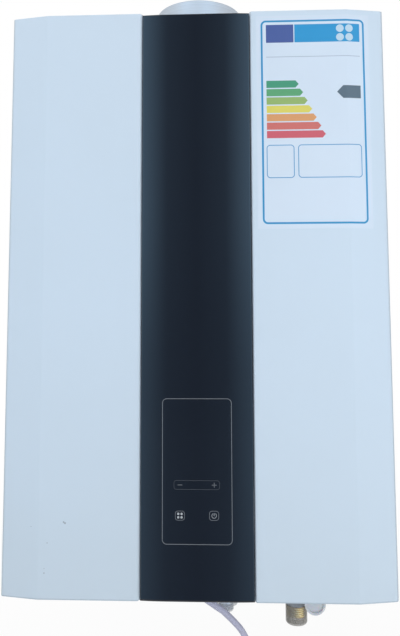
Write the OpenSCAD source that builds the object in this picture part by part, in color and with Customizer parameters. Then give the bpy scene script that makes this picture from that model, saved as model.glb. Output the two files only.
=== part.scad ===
// Wall-hung instantaneous gas water heater: folded steel casing with a curved black glass strip,
// coaxial flue collar on top, capped pipe stubs, drain knob and mains lead below.
// X runs to the right, Y from the front towards the wall, Z up.
// The origin lies on the wall plane, on the centre line, level with the underside of the casing.

/* [Casing] */
// Width of the casing
casing_w = 360; // [350:1:420]
// Height of the casing
casing_h = 545; // [540:1:640]
// Depth from the wall to the white front
casing_d = 150; // [146:1:190]
// Thickness of the cover's sheet steel
cover_t = 0.8; // [0.6:0.1:1.2]
// Width of the slanted margin at each side
wing_w = 36; // [24:1:60]
// How far the slanted margin falls back
wing_drop = 6.5; // [3:0.5:8]
// Bend radius at the side edges
edge_r = 4; // [2:0.5:6]
// Bend radius at the fold between margin and front
fold_r = 14; // [4:1:30]
// Depth of the cover's return at top and bottom
lip_d = 24; // [16:1:26]
// Gap between the cover's rear edge and the wall
wall_gap = 12; // [8:1:14]

/* [Glass strip] */
// Width of the black glass strip
strip_w = 104; // [90:1:130]
// Thickness of the bent glass
strip_t = 3; // [2:0.5:3]
// How far the middle of the glass stands out of the white front
strip_proud = 2.6; // [1.5:0.1:4]
// Width of the curved margin of the glass
strip_margin = 24; // [12:1:26]
// How far the glass falls back at its long edges
strip_fall = 2.8; // [1:0.1:3]
// Gap between the glass and the white sheet at each side
strip_gap = 0.8; // [0.4:0.1:2]
// Distance of the glass's ends from the casing's top and underside
strip_short = 1.3; // [0.5:0.1:3]
// Depth of the channel that the glass lies in
channel_d = 5; // [4.5:0.5:6]
// Bend radius of the channel
channel_r = 1.2; // [1:0.1:1.5]
// Width of the foam tape behind each edge of the glass
tape_w = 10; // [6:1:12]

/* [Touch panel] */
// Width of the touch panel's housing
touch_w = 66; // [60:1:70]
// Height of the touch panel's housing
touch_h = 132; // [110:1:150]
// Height of the touch panel's centre above the casing's underside
touch_z = 113; // [100:1:120]
// Depth of the touch panel's housing
touch_d = 18; // [14:1:19]
// Wall of the touch panel's housing
touch_wall = 1.6; // [1.2:0.1:2]

/* [Chassis] */
// Thickness of the chassis sheet
panel_t = 0.8; // [0.6:0.1:1.2]
// Thickness of the foam seal between cover and chassis
seal_t = 3; // [2:0.5:4]
// Width of the foam seal
seal_w = 8; // [5:0.5:9]
// Distance of the front seals from the edge of the cover's return
seal_in = 4; // [3:0.5:5]
// Depth of the back panel's side flanges
flange_d = 22; // [20:1:30]
// Depth of the folded edges of the top and bottom panels
fold_d = 12; // [8:1:16]
// Distance between the wall screws across the width
hole_pitch_x = 120; // [80:1:160]
// Distance from the casing's edge to the wall screws
hole_out = 12; // [10:1:16]
// Diameter of the wall screw holes
wall_hole_d = 7; // [5:0.5:8]
// Height of the hanging tabs beyond the casing
tab_h = 22; // [20:1:30]
// Width of the hanging tabs
tab_w = 160; // [150:1:200]
// Height of the lower cover screws above the casing's underside
screw_low = 70; // [40:1:120]
// Depth of the upper cover screws under the casing's top
screw_high = 70; // [40:1:120]
// Diameter of the sheet metal screws
screw_d = 4; // [3:0.5:4.5]
// Diameter of the screw heads
screw_head_d = 8; // [6.5:0.5:9]
// Height of the screw heads
screw_head_h = 2.4; // [1.5:0.1:3]
// Length of the screw shanks
screw_len = 10; // [9:1:12]

/* [Flue] */
// Outer diameter of the flue collar
collar_d = 90; // [80:1:96]
// Wall of the flue collar
collar_wall = 1.2; // [0.8:0.1:2]
// Height of the collar above the casing
collar_h = 30; // [24:1:50]
// Side of the collar's square flange
collar_flange = 104; // [102:1:108]
// Thickness of the collar's flange
collar_flange_t = 2; // [1.5:0.1:3]
// Height of the stop bead above the flange
bead_z = 5; // [4:0.5:8]
// How far the stop bead stands out
bead_out = 1.2; // [0.6:0.1:2]
// Thickness of the gasket under the collar
flue_gasket_t = 2; // [1:0.5:2]
// Outer diameter of the exhaust spigot
spigot_d = 60; // [54:1:62]
// Wall of the exhaust spigot
spigot_wall = 1; // [0.8:0.1:1.5]
// How far the spigot stays below the collar's rim
spigot_low = 5; // [2:0.5:8]
// Gap between the collar's flange and the cover
collar_gap = 3; // [1:0.5:4]

/* [Exhaust fan] */
// Radius of the scroll at its tongue
scroll_r_in = 54; // [53:0.5:56]
// Radius of the scroll at its outlet
scroll_r_out = 80; // [78:0.5:82]
// Sheet of the scroll
scroll_t = 0.8; // [0.6:0.1:1.2]
// Height of the outlet above the fan's axis
outlet_h = 72; // [66:1:80]
// Width of the outlet's flange
outlet_rim = 6; // [5:0.5:7]
// Diameter of the fan's inlet
inlet_d = 68; // [56:1:72]
// Diameter of the impeller
impeller_d = 92; // [84:1:96]
// Gap between the impeller's shroud ring and the scroll's inlet side
impeller_back = 12; // [8:0.5:16]
// Gap between the impeller's disc and the scroll's motor side
impeller_front = 8; // [5:0.5:10]
// Radial depth of the blades
blade_in = 10; // [7:0.5:12]
// Thickness of a blade
blade_t = 0.8; // [0.6:0.1:1.2]
// Number of blades
blade_n = 26; // [12:1:32]
// Diameter of the fan's shaft
shaft_d = 6; // [5:0.5:8]
// Diameter of the fan's motor
motor_d = 60; // [50:1:66]
// Length of the fan's motor
motor_l = 28; // [24:1:30]
// Gap between the fan's motor and the cover
motor_room = 13.1; // [8:0.1:16]

/* [Heat exchanger] */
// Width of the burner, chamber and exchanger
core_w = 190; // [180:1:200]
// Distance of the exchanger's back from the wall
core_gap = 14; // [12:0.5:15]
// Room in front of the burner for the manifold and the touch panel
core_room = 38; // [37:0.5:39]
// Height of the chamber and exchanger shell
shell_h = 155; // [150:1:170]
// Wall of the copper shell
shell_t = 1; // [0.8:0.1:1.2]
// Outer diameter of the exchanger's tubes
tube_d = 14; // [12:0.5:15]
// Wall of the water pipes
tube_wall = 1; // [0.6:0.1:1.5]
// Distance of the outer tubes' axes from the shell's front and back
tube_edge = 13; // [11:0.5:15]
// Number of tubes side by side
tube_n = 5; // [3:2:5]
// Height of the fins
fin_h = 43; // [36:1:44]
// Thickness of a fin
fin_t = 0.5; // [0.3:0.1:0.8]
// Distance between the fins
fin_pitch = 7; // [5:0.5:10]
// Depth of the tubes' axes under the top of the shell
tube_under = 31; // [28:1:36]
// How far the tube ends stand out of the shell
tube_stub = 14; // [12:1:20]
// Height of the hood's lower rim
hood_rim = 7; // [4:1:12]
// Rise of the hood's sloping roof
hood_rise = 20; // [12:1:24]
// Depth of the duct behind the fan
hood_duct = 24; // [20:1:26]
// Sheet of the hood
hood_t = 0.8; // [0.6:0.1:1.2]

/* [Burner and gas] */
// Height of the burner's underside above the casing's underside
burner_z = 110; // [108:1:124]
// Height of the burner tray
burner_h = 80; // [74:1:90]
// Sheet of the burner tray
burner_t = 1; // [0.8:0.1:1.5]
// Number of burner bars
bar_n = 9; // [5:1:11]
// Distance between the burner bars
bar_pitch = 20; // [16:0.5:20]
// Width of a burner bar's foot
bar_w = 14; // [12:0.5:15]
// Width of the ledge that the bars stand on
ledge_w = 10; // [6:1:14]
// Height of the burner's jets above the tray's underside
jet_z = 16; // [13:0.5:18]
// Diameter of a jet's tip
jet_d = 8; // [6:0.5:9]
// Height of the gas manifold's bar
manifold_h = 16; // [14:1:18]
// Depth of the gas manifold's bar
manifold_d = 12; // [11:0.5:14]
// Gap between manifold and burner tray
manifold_gap = 1.5; // [1:0.5:2]
// Width of the gas valve's body
valve_w = 60; // [54:1:64]
// Depth of the gas valve's body
valve_d = 44; // [38:1:50]
// Height of the gas valve's body
valve_h = 56; // [48:1:60]
// Height of the gas valve above the bottom panel
valve_z = 36; // [30:1:40]
// Diameter of a solenoid coil
coil_d = 28; // [22:1:32]
// Length of a solenoid coil
coil_l = 24; // [18:1:26]

/* [Water and pipe stubs] */
// Distance of the pipe stubs behind the burner's front
stub_behind = 34; // [28:0.5:38]
// Place of the cold inlet across the width
cold_x = 95; // [92:0.5:100]
// Place of the gas inlet across the width
gas_x = 25.5; // [16:0.5:26]
// Place of the hot outlet, left of the centre line
hot_x = 95; // [92:0.5:100]
// Outer diameter of the water pipes' threads
thread_d = 20; // [18:0.5:22]
// Outer diameter of the gas pipe's thread
gas_thread_d = 14; // [12:0.5:16]
// Bore of the water stubs
stub_bore = 13; // [10:0.5:14]
// Bore of the gas stub
gas_bore = 8; // [6:0.5:9]
// Diameter of the stubs' barrels
barrel_d = 26; // [24:0.5:28]
// How far the cold inlet reaches below the casing
cold_reach = 40.5; // [38:0.5:54]
// How far the gas inlet reaches below the casing
gas_reach = 36; // [34:0.5:44]
// How far the hot outlet reaches below the casing
hot_reach = 15; // [14:0.5:18]
// Length of the cold inlet's thread
cold_thread = 16; // [14:0.5:18]
// Length of the gas inlet's and hot outlet's threads
thread_l = 14; // [11:0.5:15]
// Side of the stubs' square flanges
stub_flange = 40; // [36:1:44]
// Thickness of the stubs' flanges
stub_flange_t = 3; // [2:0.5:5]
// Height of the stubs' barrels above the bottom panel
barrel_up = 28; // [24:1:29]
// Height of the flow sensor
sensor_h = 46; // [40:1:50]
// Outer diameter of the flow sensor
sensor_d = 30; // [28:0.5:32]
// Diameter of the flow sensor's rotor
rotor_d = 19; // [14:0.5:20]
// Height of the flow sensor's rotor
rotor_h = 16; // [12:0.5:18]
// Place of the cold pipe's riser beside the burner
riser_out = 33; // [30:0.5:36]
// Bend radius of the water pipes
pipe_bend = 14; // [12:0.5:15]

/* [Caps and drain knob] */
// Wall of the protective caps
cap_wall = 0.6; // [0.5:0.1:1.2]
// Height of the cold inlet's cap
cold_cap_h = 18; // [16:0.5:18.5]
// Empty space under the thread in the cold inlet's cap
cold_cap_space = 6; // [2:0.5:8]
// Height of the gas inlet's cap
gas_cap_h = 8; // [7:0.5:12]
// Height of the hot outlet's cap
hot_cap_h = 10; // [8:0.5:12]
// Width of the flared rim on the gas and hot caps
cap_rim = 3.8; // [1:0.1:5]
// Diameter of the drain knob
knob_d = 20; // [16:0.5:22]
// Thickness of the drain knob
knob_t = 9; // [7:0.5:10]
// Distance of the drain knob's axis to the right of the cold inlet
knob_dx = 16; // [16:0.5:18]
// Depth of the drain knob's axis below the casing
knob_low = 22.4; // [20:0.2:23]
// Distance of the drain knob's face in front of the pipe stubs
knob_out = 22; // [20:0.5:26]
// Diameter of the drain knob's stem
stem_d = 6; // [5:0.5:8]

/* [Controls] */
// Width of the control box
control_w = 56; // [48:1:58]
// Height of the control box
control_h = 170; // [140:1:180]
// Depth of the control box
control_d = 42; // [36:1:44]
// Wall of the control box
control_wall = 2; // [1.5:0.1:2.5]
// Height of the control box above the casing's underside
control_z = 120; // [110:1:140]
// Diameter of the air pressure switch
switch_d = 54; // [44:1:56]

/* [Mains lead] */
// Diameter of the mains lead
cord_d = 6; // [5:0.1:6.2]
// Length of the strain relief's tapered tail
relief_l = 30; // [20:1:34]
// Slope of the strain relief below the horizontal
relief_slope = 33; // [25:1:45]
// Place of the strain relief, left of the centre line
relief_x = 28.5; // [28:0.5:36]
// Distance of the strain relief in front of the pipe stubs
relief_out = 22; // [20:0.5:24]
// Turns of the stored coil
coil_turns = 6; // [2:2:8]
// Distance between neighbouring turns and layers
coil_pitch = 6.6; // [6.5:0.1:8]
// Radius of the innermost turn
coil_r_in = 26; // [25.5:0.5:32]

/* [Hidden] */
$fn = 64;

// Clearances: faces that rest on each other, running shafts, loose holes
rest_gap = 0.05;
run_gap = 0.05;
loose = 0.2;
// Overshoot of a cut past the face that it opens
past = 1;

// Planes of the casing and chassis
half_w = casing_w / 2;
flange_x = half_w - cover_t - seal_t;
floor_z = cover_t + seal_t;
roof_z = casing_h - cover_t - seal_t;
floor_in = floor_z + panel_t;
roof_in = roof_z - panel_t;
panel_d = casing_d - 10;
channel_half = strip_w / 2 + strip_gap;
channel_y = casing_d - channel_d;
lip_y = casing_d - lip_d;
wall_in = panel_t;

// Planes of the burner, exchanger and fan
core_d = casing_d - core_gap - core_room;
core_back = core_gap;
core_front = core_gap + core_d;
core_mid = core_gap + core_d / 2;
shell_z = burner_z + burner_h;
hood_z = shell_z + shell_h;
tube_z = hood_z - tube_under;
tube_pitch = (core_d - 2 * tube_edge) / (tube_n - 1);
duct_front = core_back + hood_duct;
plate_t = 1;
scroll_back = duct_front;
motor_y = channel_y - cover_t - motor_room - motor_l;
plate_y = motor_y - rest_gap - plate_t;
scroll_front = plate_y - rest_gap;
scroll_d = scroll_front - scroll_back;
scroll_mid = (scroll_back + scroll_front) / 2;
flue_y = scroll_mid;
tongue_angle = 60;
tongue_x = scroll_r_in * cos(tongue_angle);
fan_x = -(tongue_x + scroll_r_out) / 2;
fan_z = hood_z + hood_rim + hood_rise + scroll_radius(270) + 5;
outlet_z = fan_z + outlet_h;
hood_top = fan_z + inlet_d / 2 + 4;
collar_base = roof_z + flue_gasket_t;
collar_top = casing_h + collar_h;
collar_screw = collar_flange / 2 - 7;
stub_y = core_front - stub_behind;
knob_y = stub_y + knob_out;
relief_y = stub_y + relief_out;
manifold_back = core_front + manifold_gap;
manifold_front = manifold_back + manifold_d;
jet_height = burner_z + jet_z;
sensor_z = floor_in + barrel_up;
hot_y = core_front - tube_edge;
valve_base = floor_in + valve_z;
control_left = -(flange_x - panel_t - 3);
cord_r = cord_d / 2;

// Radius of the fan scroll at an angle from the tongue's side, growing steadily with the turn
function scroll_radius(a) =
    scroll_r_in + (scroll_r_out - scroll_r_in) * (a - tongue_angle) / (360 - tongue_angle);

function unit(v) = v / norm(v);

// Unit normal to the left of a step from a to b
function left_of(a, b) = let (d = unit(b - a)) [-d[1], d[0]];

// Point beside b at distance t, between the normals of the steps before and after it
function mitre(a, b, c, t) = let (m = left_of(a, b), n = left_of(b, c)) b + t * (m + n) / (1 + m * n);

// Open path moved to its left by t
function beside(p, t) = [
    for (i = [0:len(p) - 1])
        let (a = i > 0 ? p[i - 1] : 2 * p[0] - p[1])
        let (c = i < len(p) - 1 ? p[i + 1] : 2 * p[i] - p[i - 1])
        mitre(a, p[i], c, t)
];

// Closed outline, counted anticlockwise, moved inwards by t
function inset(p, t) = [
    for (i = [0:len(p) - 1]) mitre(p[(i + len(p) - 1) % len(p)], p[i], p[(i + 1) % len(p)], t)
];

// Arc of radius r that rounds the corner b between a and c
function corner(a, b, c, r, steps = 6) =
    let (u = unit(a - b), v = unit(c - b))
    let (half = acos(u * v) / 2)
    let (centre = b + unit(u + v) * r / sin(half))
    let (first = b + u * r / tan(half) - centre)
    let (start = atan2(first[1], first[0]))
    let (turn = (180 - 2 * half) * sign(cross(b - a, c - b)))
    [for (i = [0:steps]) centre + r * [cos(start + turn * i / steps), sin(start + turn * i / steps)]];

// Path with its inner corners rounded, one radius for each
function bent(p, r) = concat(
    [p[0]],
    [for (i = [1:len(p) - 2]) each corner(p[i - 1], p[i], p[i + 1], r[i - 1])],
    [p[len(p) - 1]]
);

// Sheet of thickness t that lies to the left of a path
module sheet(p, t) {
    inner = beside(p, t);
    polygon(concat(p, [for (i = [len(p) - 1:-1:0]) inner[i]]));
}

// Drawing in X and Z, drawn out from the wall side towards the front
module upright(y, d) {
    translate([0, -y, 0]) rotate([90, 0, 0]) linear_extrude(d) children();
}

// Drawing in Y and Z, drawn out along X about the centre line
module across(w) {
    translate([-w / 2, 0, 0]) rotate([90, 0, 90]) linear_extrude(w) children();
}

// Rectangle with rounded corners, centred
module rounded(w, d, r) {
    box = [[-w / 2, -d / 2], [w / 2, -d / 2], [w / 2, d / 2], [-w / 2, d / 2]];
    polygon([for (i = [0:3]) each corner(box[(i + 3) % 4], box[i], box[(i + 1) % 4], r)]);
}

// Cylinder along Y, from one distance from the wall to another
module rod_y(x, z, y0, y1, r) {
    translate([x, -y0, z]) rotate([90, 0, 0]) cylinder(h = y1 - y0, r = r);
}

// Cylinder along X between two places
module rod_x(x0, x1, y, z, r) {
    translate([x0, -y, z]) rotate([0, 90, 0]) cylinder(h = x1 - x0, r = r);
}

// Angles that turn X onto vector x and Z onto vector z
function turn_to(x, z) =
    let (y = cross(z, x), s = sign(x[2]))
    abs(x[2]) > 0.999
        ? [atan2(-z[1], -s * z[0]), -90 * s, 0]
        : [atan2(y[2], z[2]), -asin(x[2]), atan2(x[1], x[0])];

// Length of a corner's tangents for a bend radius
function tangent(a, b, c, bend) = bend * tan(acos(unit(b - a) * unit(c - b)) / 2);

// Corner of a pipe to a hundredth of a millimetre, so that runs and bends share their ends
function snapped(p) = [for (v = p) round(100 * v) / 100];

// Overlap of a pipe's straight runs with its bends, far below any real size
lap = 0.000001;

// Rod through a list of corners, with round bends of radius bend
module bent_rod(corners, r, bend) {
    p = [for (c = corners) snapped(c)];
    last = len(p) - 1;
    for (i = [0:last - 1]) {
        dir = unit(p[i + 1] - p[i]);
        side = abs(dir[2]) > 0.9 ? [1, 0, 0] : [0, 0, 1];
        before = i > 0 ? tangent(p[i - 1], p[i], p[i + 1], bend) - lap : 0;
        after = i < last - 1 ? tangent(p[i], p[i + 1], p[i + 2], bend) - lap : 0;
        translate(p[i] + before * dir) rotate(turn_to(side, dir))
            cylinder(h = norm(p[i + 1] - p[i]) - before - after, r = r);
    }
    for (i = [1:last - 1]) {
        from = unit(p[i] - p[i - 1]);
        to = unit(p[i + 1] - p[i]);
        axis = unit(cross(from, to));
        out = -cross(axis, from);
        turn = acos(from * to);
        translate(p[i] + bend / cos(turn / 2) * unit(to - from))
            rotate(turn_to(out, axis))
                rotate_extrude(angle = turn) translate([bend, 0]) circle(r);
    }
}

// Pipe through a list of corners
module bent_pipe(p, r, wall, bend) {
    last = len(p) - 1;
    longer = concat(
        [p[0] + past * unit(p[0] - p[1])],
        [for (i = [1:last - 1]) p[i]],
        [p[last] + past * unit(p[last] - p[last - 1])]
    );
    difference() {
        bent_rod(p, r, bend);
        bent_rod(longer, r - wall, bend);
    }
}

// Pan head screw along Z, head up, with its seat at the origin
module screw() {
    translate([0, 0, rest_gap]) {
        cylinder(h = screw_head_h, d1 = screw_head_d, d2 = screw_head_d * 0.8);
        translate([0, 0, -screw_len]) cylinder(h = screw_len + rest_gap, d = screw_d);
    }
}

// Outline of the casing's cover from its left rear edge round the front to its right rear edge
cover_path = bent(
    [
        [-half_w, -wall_gap],
        [-half_w, wing_drop - casing_d],
        [wing_w - half_w, -casing_d],
        [-channel_half, -casing_d],
        [-channel_half, -channel_y],
        [channel_half, -channel_y],
        [channel_half, -casing_d],
        [half_w - wing_w, -casing_d],
        [half_w, wing_drop - casing_d],
        [half_w, -wall_gap]
    ],
    [edge_r, fold_r, channel_r, channel_r, channel_r, channel_r, fold_r, edge_r]
);

// Places of the cover's side screws, shared by cover, seals and back panel
screw_y = (wall_gap + flange_d) / 2;
screw_levels = [screw_low, casing_h - screw_high];

module side_screw_holes(d) {
    for (z = screw_levels)
        rod_x(-half_w - past, half_w + past, screw_y, z, d / 2);
}

// Return of the cover along its top or bottom edge
module cover_lip(z) {
    translate([0, 0, z]) linear_extrude(cover_t)
        polygon(concat(
            [[-half_w, -lip_y]],
            [for (p = cover_path) if (p[1] < -lip_y) p],
            [[half_w, -lip_y]]
        ));
}

module front_cover() {
    color([0.80, 0.87, 0.94]) difference() {
        union() {
            linear_extrude(casing_h) sheet(cover_path, cover_t);
            cover_lip(0);
            cover_lip(casing_h - cover_t);
        }
        translate([0, -flue_y, casing_h - cover_t - past])
            linear_extrude(cover_t + 2 * past) square(collar_flange + 2 * collar_gap, center = true);
        upright(channel_y - 2 * channel_r - past, 4 * channel_r)
            translate([0, touch_z]) square([touch_w + 2 * loose, touch_h + 2 * loose], center = true);
        side_screw_holes(screw_d + 2 * loose);
    }
}

// Distance of the glass's front from the wall: flat in the middle, with parabolas towards the edges
strip_flat = strip_w / 2 - strip_margin;
function glass_front(x) =
    casing_d + strip_proud - strip_fall * pow(max(0, abs(x) - strip_flat) / strip_margin, 2);
margin_steps = 8;
glass_x = concat(
    [for (i = [margin_steps:-1:0]) -strip_flat - strip_margin * i / margin_steps],
    [for (i = [0:margin_steps]) strip_flat + strip_margin * i / margin_steps]
);

module glass_panel() {
    color([0.10, 0.12, 0.15]) translate([0, 0, strip_short]) linear_extrude(casing_h - 2 * strip_short)
        polygon(concat(
            [for (x = glass_x) [x, -glass_front(x)]],
            [for (i = [len(glass_x) - 1:-1:0]) [glass_x[i], strip_t - glass_front(glass_x[i])]]
        ));
}

module panel_tape() {
    outer = strip_w / 2 - 2;
    edge = [for (i = [0:4]) outer - tape_w * i / 4];
    color([0.2, 0.2, 0.2]) for (s = [-1, 1])
        translate([0, 0, lip_d]) linear_extrude(casing_h - 2 * lip_d)
            polygon(concat(
                [[s * outer, -channel_y - rest_gap]],
                [for (x = edge) [s * x, strip_t + rest_gap - glass_front(x)]],
                [[s * (outer - tape_w), -channel_y - rest_gap]]
            ));
}

// Front and rear of the touch panel's housing, close behind the glass
touch_front = glass_front(touch_w / 2) - strip_t - loose;
touch_back = touch_front - touch_d;
touch_shelf = touch_d / 2;
touch_tab = 12;

module touch_housing() {
    color([0.25, 0.26, 0.28]) translate([0, 0, touch_z]) {
        difference() {
            upright(touch_back, touch_d) rounded(touch_w, touch_h, 3);
            upright(touch_back + touch_wall, touch_d)
                rounded(touch_w - 2 * touch_wall, touch_h - 2 * touch_wall, 2);
        }
        for (s = [-1, 1], x = [-1, 1])
            rod_y(x * touch_w / 4, s * touch_h / 3, touch_back + touch_wall - rest_gap,
                touch_back + touch_shelf, 3);
        for (s = [-1, 1])
            upright(channel_y - cover_t - rest_gap - 2, 2)
                translate([0, s * (touch_h + touch_tab) / 2])
                    square([touch_w / 2, touch_tab + 0.2], center = true);
    }
}

module touch_board() {
    board = 1.6;
    color([0.1, 0.35, 0.2]) translate([0, 0, touch_z]) {
        upright(touch_back + touch_shelf + rest_gap, board)
            square([touch_w - 2 * touch_wall - 1, touch_h - 2 * touch_wall - 1], center = true);
        upright(touch_back + touch_shelf + board, 5)
            translate([0, touch_h / 5]) square([34, 24], center = true);
        for (x = [-15.5, 15.5], z = [-12, -39])
            rod_y(x, z, touch_back + touch_shelf + board, touch_back + touch_shelf + board + 5, 5);
    }
}

// Wall screw holes: two above the casing, two below
hole_levels = [-hole_out, casing_h + hole_out];

module back_panel() {
    color([0.70, 0.72, 0.74]) difference() {
        union() {
            upright(0, panel_t) polygon(concat(
                [[-flange_x, floor_z], [-tab_w / 2, floor_z]],
                [[-tab_w / 2 + 6, -tab_h], [tab_w / 2 - 6, -tab_h]],
                [[tab_w / 2, floor_z], [flange_x, floor_z], [flange_x, roof_z], [tab_w / 2, roof_z]],
                [[tab_w / 2 - 6, casing_h + tab_h], [6 - tab_w / 2, casing_h + tab_h]],
                [[-tab_w / 2, roof_z], [-flange_x, roof_z]]
            ));
            for (s = [0, 1]) mirror([s, 0, 0])
                translate([flange_x - panel_t, -flange_d, floor_z])
                    cube([panel_t, flange_d, roof_z - floor_z]);
        }
        for (x = [-1, 1], z = hole_levels)
            rod_y(x * hole_pitch_x / 2, z, -past, panel_t + past, wall_hole_d / 2);
        side_screw_holes(screw_d + 2 * run_gap);
    }
}

// Chassis panel with its outer face at Z 0 and its folded edges standing up
module end_panel() {
    rear = flange_x - panel_t - loose;
    front = half_w - cover_t - loose;
    step_y = flange_d + loose;
    edge_w = casing_w - 2 * wing_w;
    linear_extrude(panel_t) polygon([
        [-rear, -wall_in - rest_gap], [-rear, -step_y], [-front, -step_y], [-front, -panel_d],
        [front, -panel_d], [front, -step_y], [rear, -step_y], [rear, -wall_in - rest_gap]
    ]);
    translate([-edge_w / 2, -panel_d, 0]) cube([edge_w, panel_t, fold_d]);
    translate([-edge_w / 2, -wall_in - rest_gap - panel_t, 0]) cube([edge_w, panel_t, fold_d]);
}

module top_panel() {
    color([0.70, 0.72, 0.74]) difference() {
        translate([0, 0, roof_z]) mirror([0, 0, 1]) end_panel();
        translate([0, -flue_y, roof_z - panel_t - past])
            cylinder(h = panel_t + 2 * past, d = collar_d - 2 * collar_wall);
        collar_screw_holes(roof_z - panel_t - past, panel_t + 2 * past, screw_d + 2 * run_gap);
    }
}

relief_hole_d = 16;

module bottom_panel() {
    color([0.70, 0.72, 0.74]) difference() {
        translate([0, 0, floor_z]) end_panel();
        for (p = [[cold_x, -stub_y], [gas_x, -stub_y], [-hot_x, -hot_y]])
            translate([p[0], p[1], floor_z - past])
                cylinder(h = panel_t + 2 * past, d = barrel_d + 2 * loose);
        translate([-relief_x, -relief_y, floor_z - past])
            cylinder(h = panel_t + 2 * past, d = relief_hole_d + 2 * loose);
    }
}

module cover_seals() {
    run = casing_w - 2 * wing_w;
    color([0.15, 0.15, 0.15]) difference() {
        union() {
            for (z = [cover_t, roof_z])
                translate([-run / 2, -lip_y - seal_in - seal_w, z + rest_gap])
                    cube([run, seal_w, seal_t - 2 * rest_gap]);
            for (s = [0, 1]) mirror([s, 0, 0])
                translate([flange_x + rest_gap, -screw_y - seal_w / 2, fold_d])
                    cube([seal_t - 2 * rest_gap, seal_w, casing_h - 2 * fold_d]);
        }
        side_screw_holes(screw_d + 2 * loose);
    }
}

module cover_screws() {
    color([0.75, 0.75, 0.76]) for (s = [0, 1], z = screw_levels)
        mirror([s, 0, 0]) translate([half_w, -screw_y, z]) rotate([0, 90, 0]) screw();
}

// Folded brackets between the back panel and the exchanger's shell
bracket_t = 1.2;
bracket_leg = 15;
bracket_w = 20;
bracket_in = 30;
bracket_levels = [shell_z + bracket_in, shell_z + shell_h - bracket_in];

module support_brackets() {
    near = -wall_in - rest_gap;
    far = -core_back + rest_gap + bracket_t;
    fold = [[near, -bracket_leg], [near, 0], [far, 0], [far, bracket_leg]];
    color([0.70, 0.72, 0.74]) for (x = [-1, 1], z = bracket_levels)
        translate([x * core_w / 3, 0, z]) across(bracket_w) sheet(fold, bracket_t);
}

module collar_screw_holes(z, h, d) {
    for (x = [-1, 1], y = [-1, 1])
        translate([x * collar_screw, y * collar_screw - flue_y, z]) cylinder(h = h, d = d);
}

// Square plate with rounded corners under the collar, shared by flange and gasket
collar_foot = collar_base + rest_gap;
collar_corner = 8;

module collar_plate(z, h, bore) {
    difference() {
        translate([0, -flue_y, z]) linear_extrude(h) rounded(collar_flange, collar_flange, collar_corner);
        translate([0, -flue_y, z - past]) cylinder(h = h + 2 * past, d = bore, $fn = 96);
        collar_screw_holes(z - past, h + 2 * past, screw_d + 2 * loose);
    }
}

// Collar turned from one outline: foot, stop bead, straight socket seat
module flue_collar() {
    r = collar_d / 2;
    bead = collar_foot + collar_flange_t + bead_z;
    color([0.76, 0.80, 0.85]) translate([0, -flue_y, 0]) rotate_extrude($fn = 96) polygon([
        [r - collar_wall, collar_foot],
        [r, collar_foot],
        [r, bead - bead_out],
        [r + bead_out, bead],
        [r + bead_out, bead + bead_out],
        [r, bead + 2 * bead_out],
        [r, collar_top],
        [r - collar_wall, collar_top]
    ]);
}

module flue_flange() {
    color([0.76, 0.80, 0.85]) collar_plate(collar_foot, collar_flange_t, collar_d + 2 * run_gap);
}

module flue_gasket() {
    color([0.55, 0.22, 0.18])
        collar_plate(roof_z + rest_gap, flue_gasket_t - rest_gap, collar_d - 2 * collar_wall);
}

module flue_screws() {
    color([0.75, 0.75, 0.76]) for (x = [-1, 1], y = [-1, 1])
        translate([x * collar_screw, y * collar_screw - flue_y, collar_foot + collar_flange_t]) screw();
}

// Outlet of the scroll: clear width across, and rim for the spigot's foot
outlet_w = scroll_r_out - tongue_x;
rim_w = outlet_w + 2 * outlet_rim;
rim_d = scroll_d + 2 * outlet_rim;
rim_t = 1.5;

module exhaust_spigot() {
    color([0.78, 0.78, 0.78]) difference() {
        union() {
            translate([0, -scroll_mid, outlet_z + rest_gap]) linear_extrude(rim_t) rounded(rim_w, rim_d, 4);
            translate([0, -flue_y, outlet_z + rest_gap])
                cylinder(h = collar_top - spigot_low - outlet_z, d = spigot_d, $fn = 96);
        }
        translate([0, -flue_y, outlet_z - past])
            cylinder(h = collar_top - outlet_z + past, d = spigot_d - 2 * spigot_wall, $fn = 96);
    }
}

// Scroll drawn from the outlet's left wall down to the tongue, round the spiral and up the right wall
function scroll_path(top) = concat(
    [[fan_x + tongue_x, top]],
    [for (a = [tongue_angle:10:360]) [fan_x, fan_z] + scroll_radius(a) * [cos(a), sin(a)]],
    [[fan_x + scroll_r_out, top]]
);
tap_z = hood_top + 8;
tap_y = scroll_mid - 6;
tap_r = 3;
tap_l = 12;

module fan_scroll() {
    color([0.72, 0.74, 0.75]) difference() {
        union() {
            upright(scroll_back + rest_gap, scroll_t) polygon(scroll_path(outlet_z));
            upright(scroll_back + rest_gap, scroll_d - rest_gap) sheet(scroll_path(outlet_z), scroll_t);
            translate([0, -scroll_mid, outlet_z - rim_t]) linear_extrude(rim_t) difference() {
                rounded(rim_w, rim_d, 4);
                square([outlet_w - scroll_t, scroll_d - scroll_t], center = true);
            }
            rod_x(fan_x + scroll_r_out - scroll_t / 2, fan_x + scroll_r_out + tap_l, tap_y, tap_z, tap_r);
        }
        rod_y(fan_x, fan_z, scroll_back - past, scroll_back + scroll_t + past, inlet_d / 2);
        rod_x(fan_x + scroll_r_out - 2, fan_x + scroll_r_out + tap_l + past, tap_y, tap_z, tap_r - 1);
    }
}

module fan_plate() {
    color([0.72, 0.74, 0.75]) difference() {
        upright(plate_y, plate_t) polygon(scroll_path(outlet_z - rim_t - rest_gap));
        rod_y(fan_x, fan_z, plate_y - past, plate_y + plate_t + past, shaft_d);
    }
}

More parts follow.
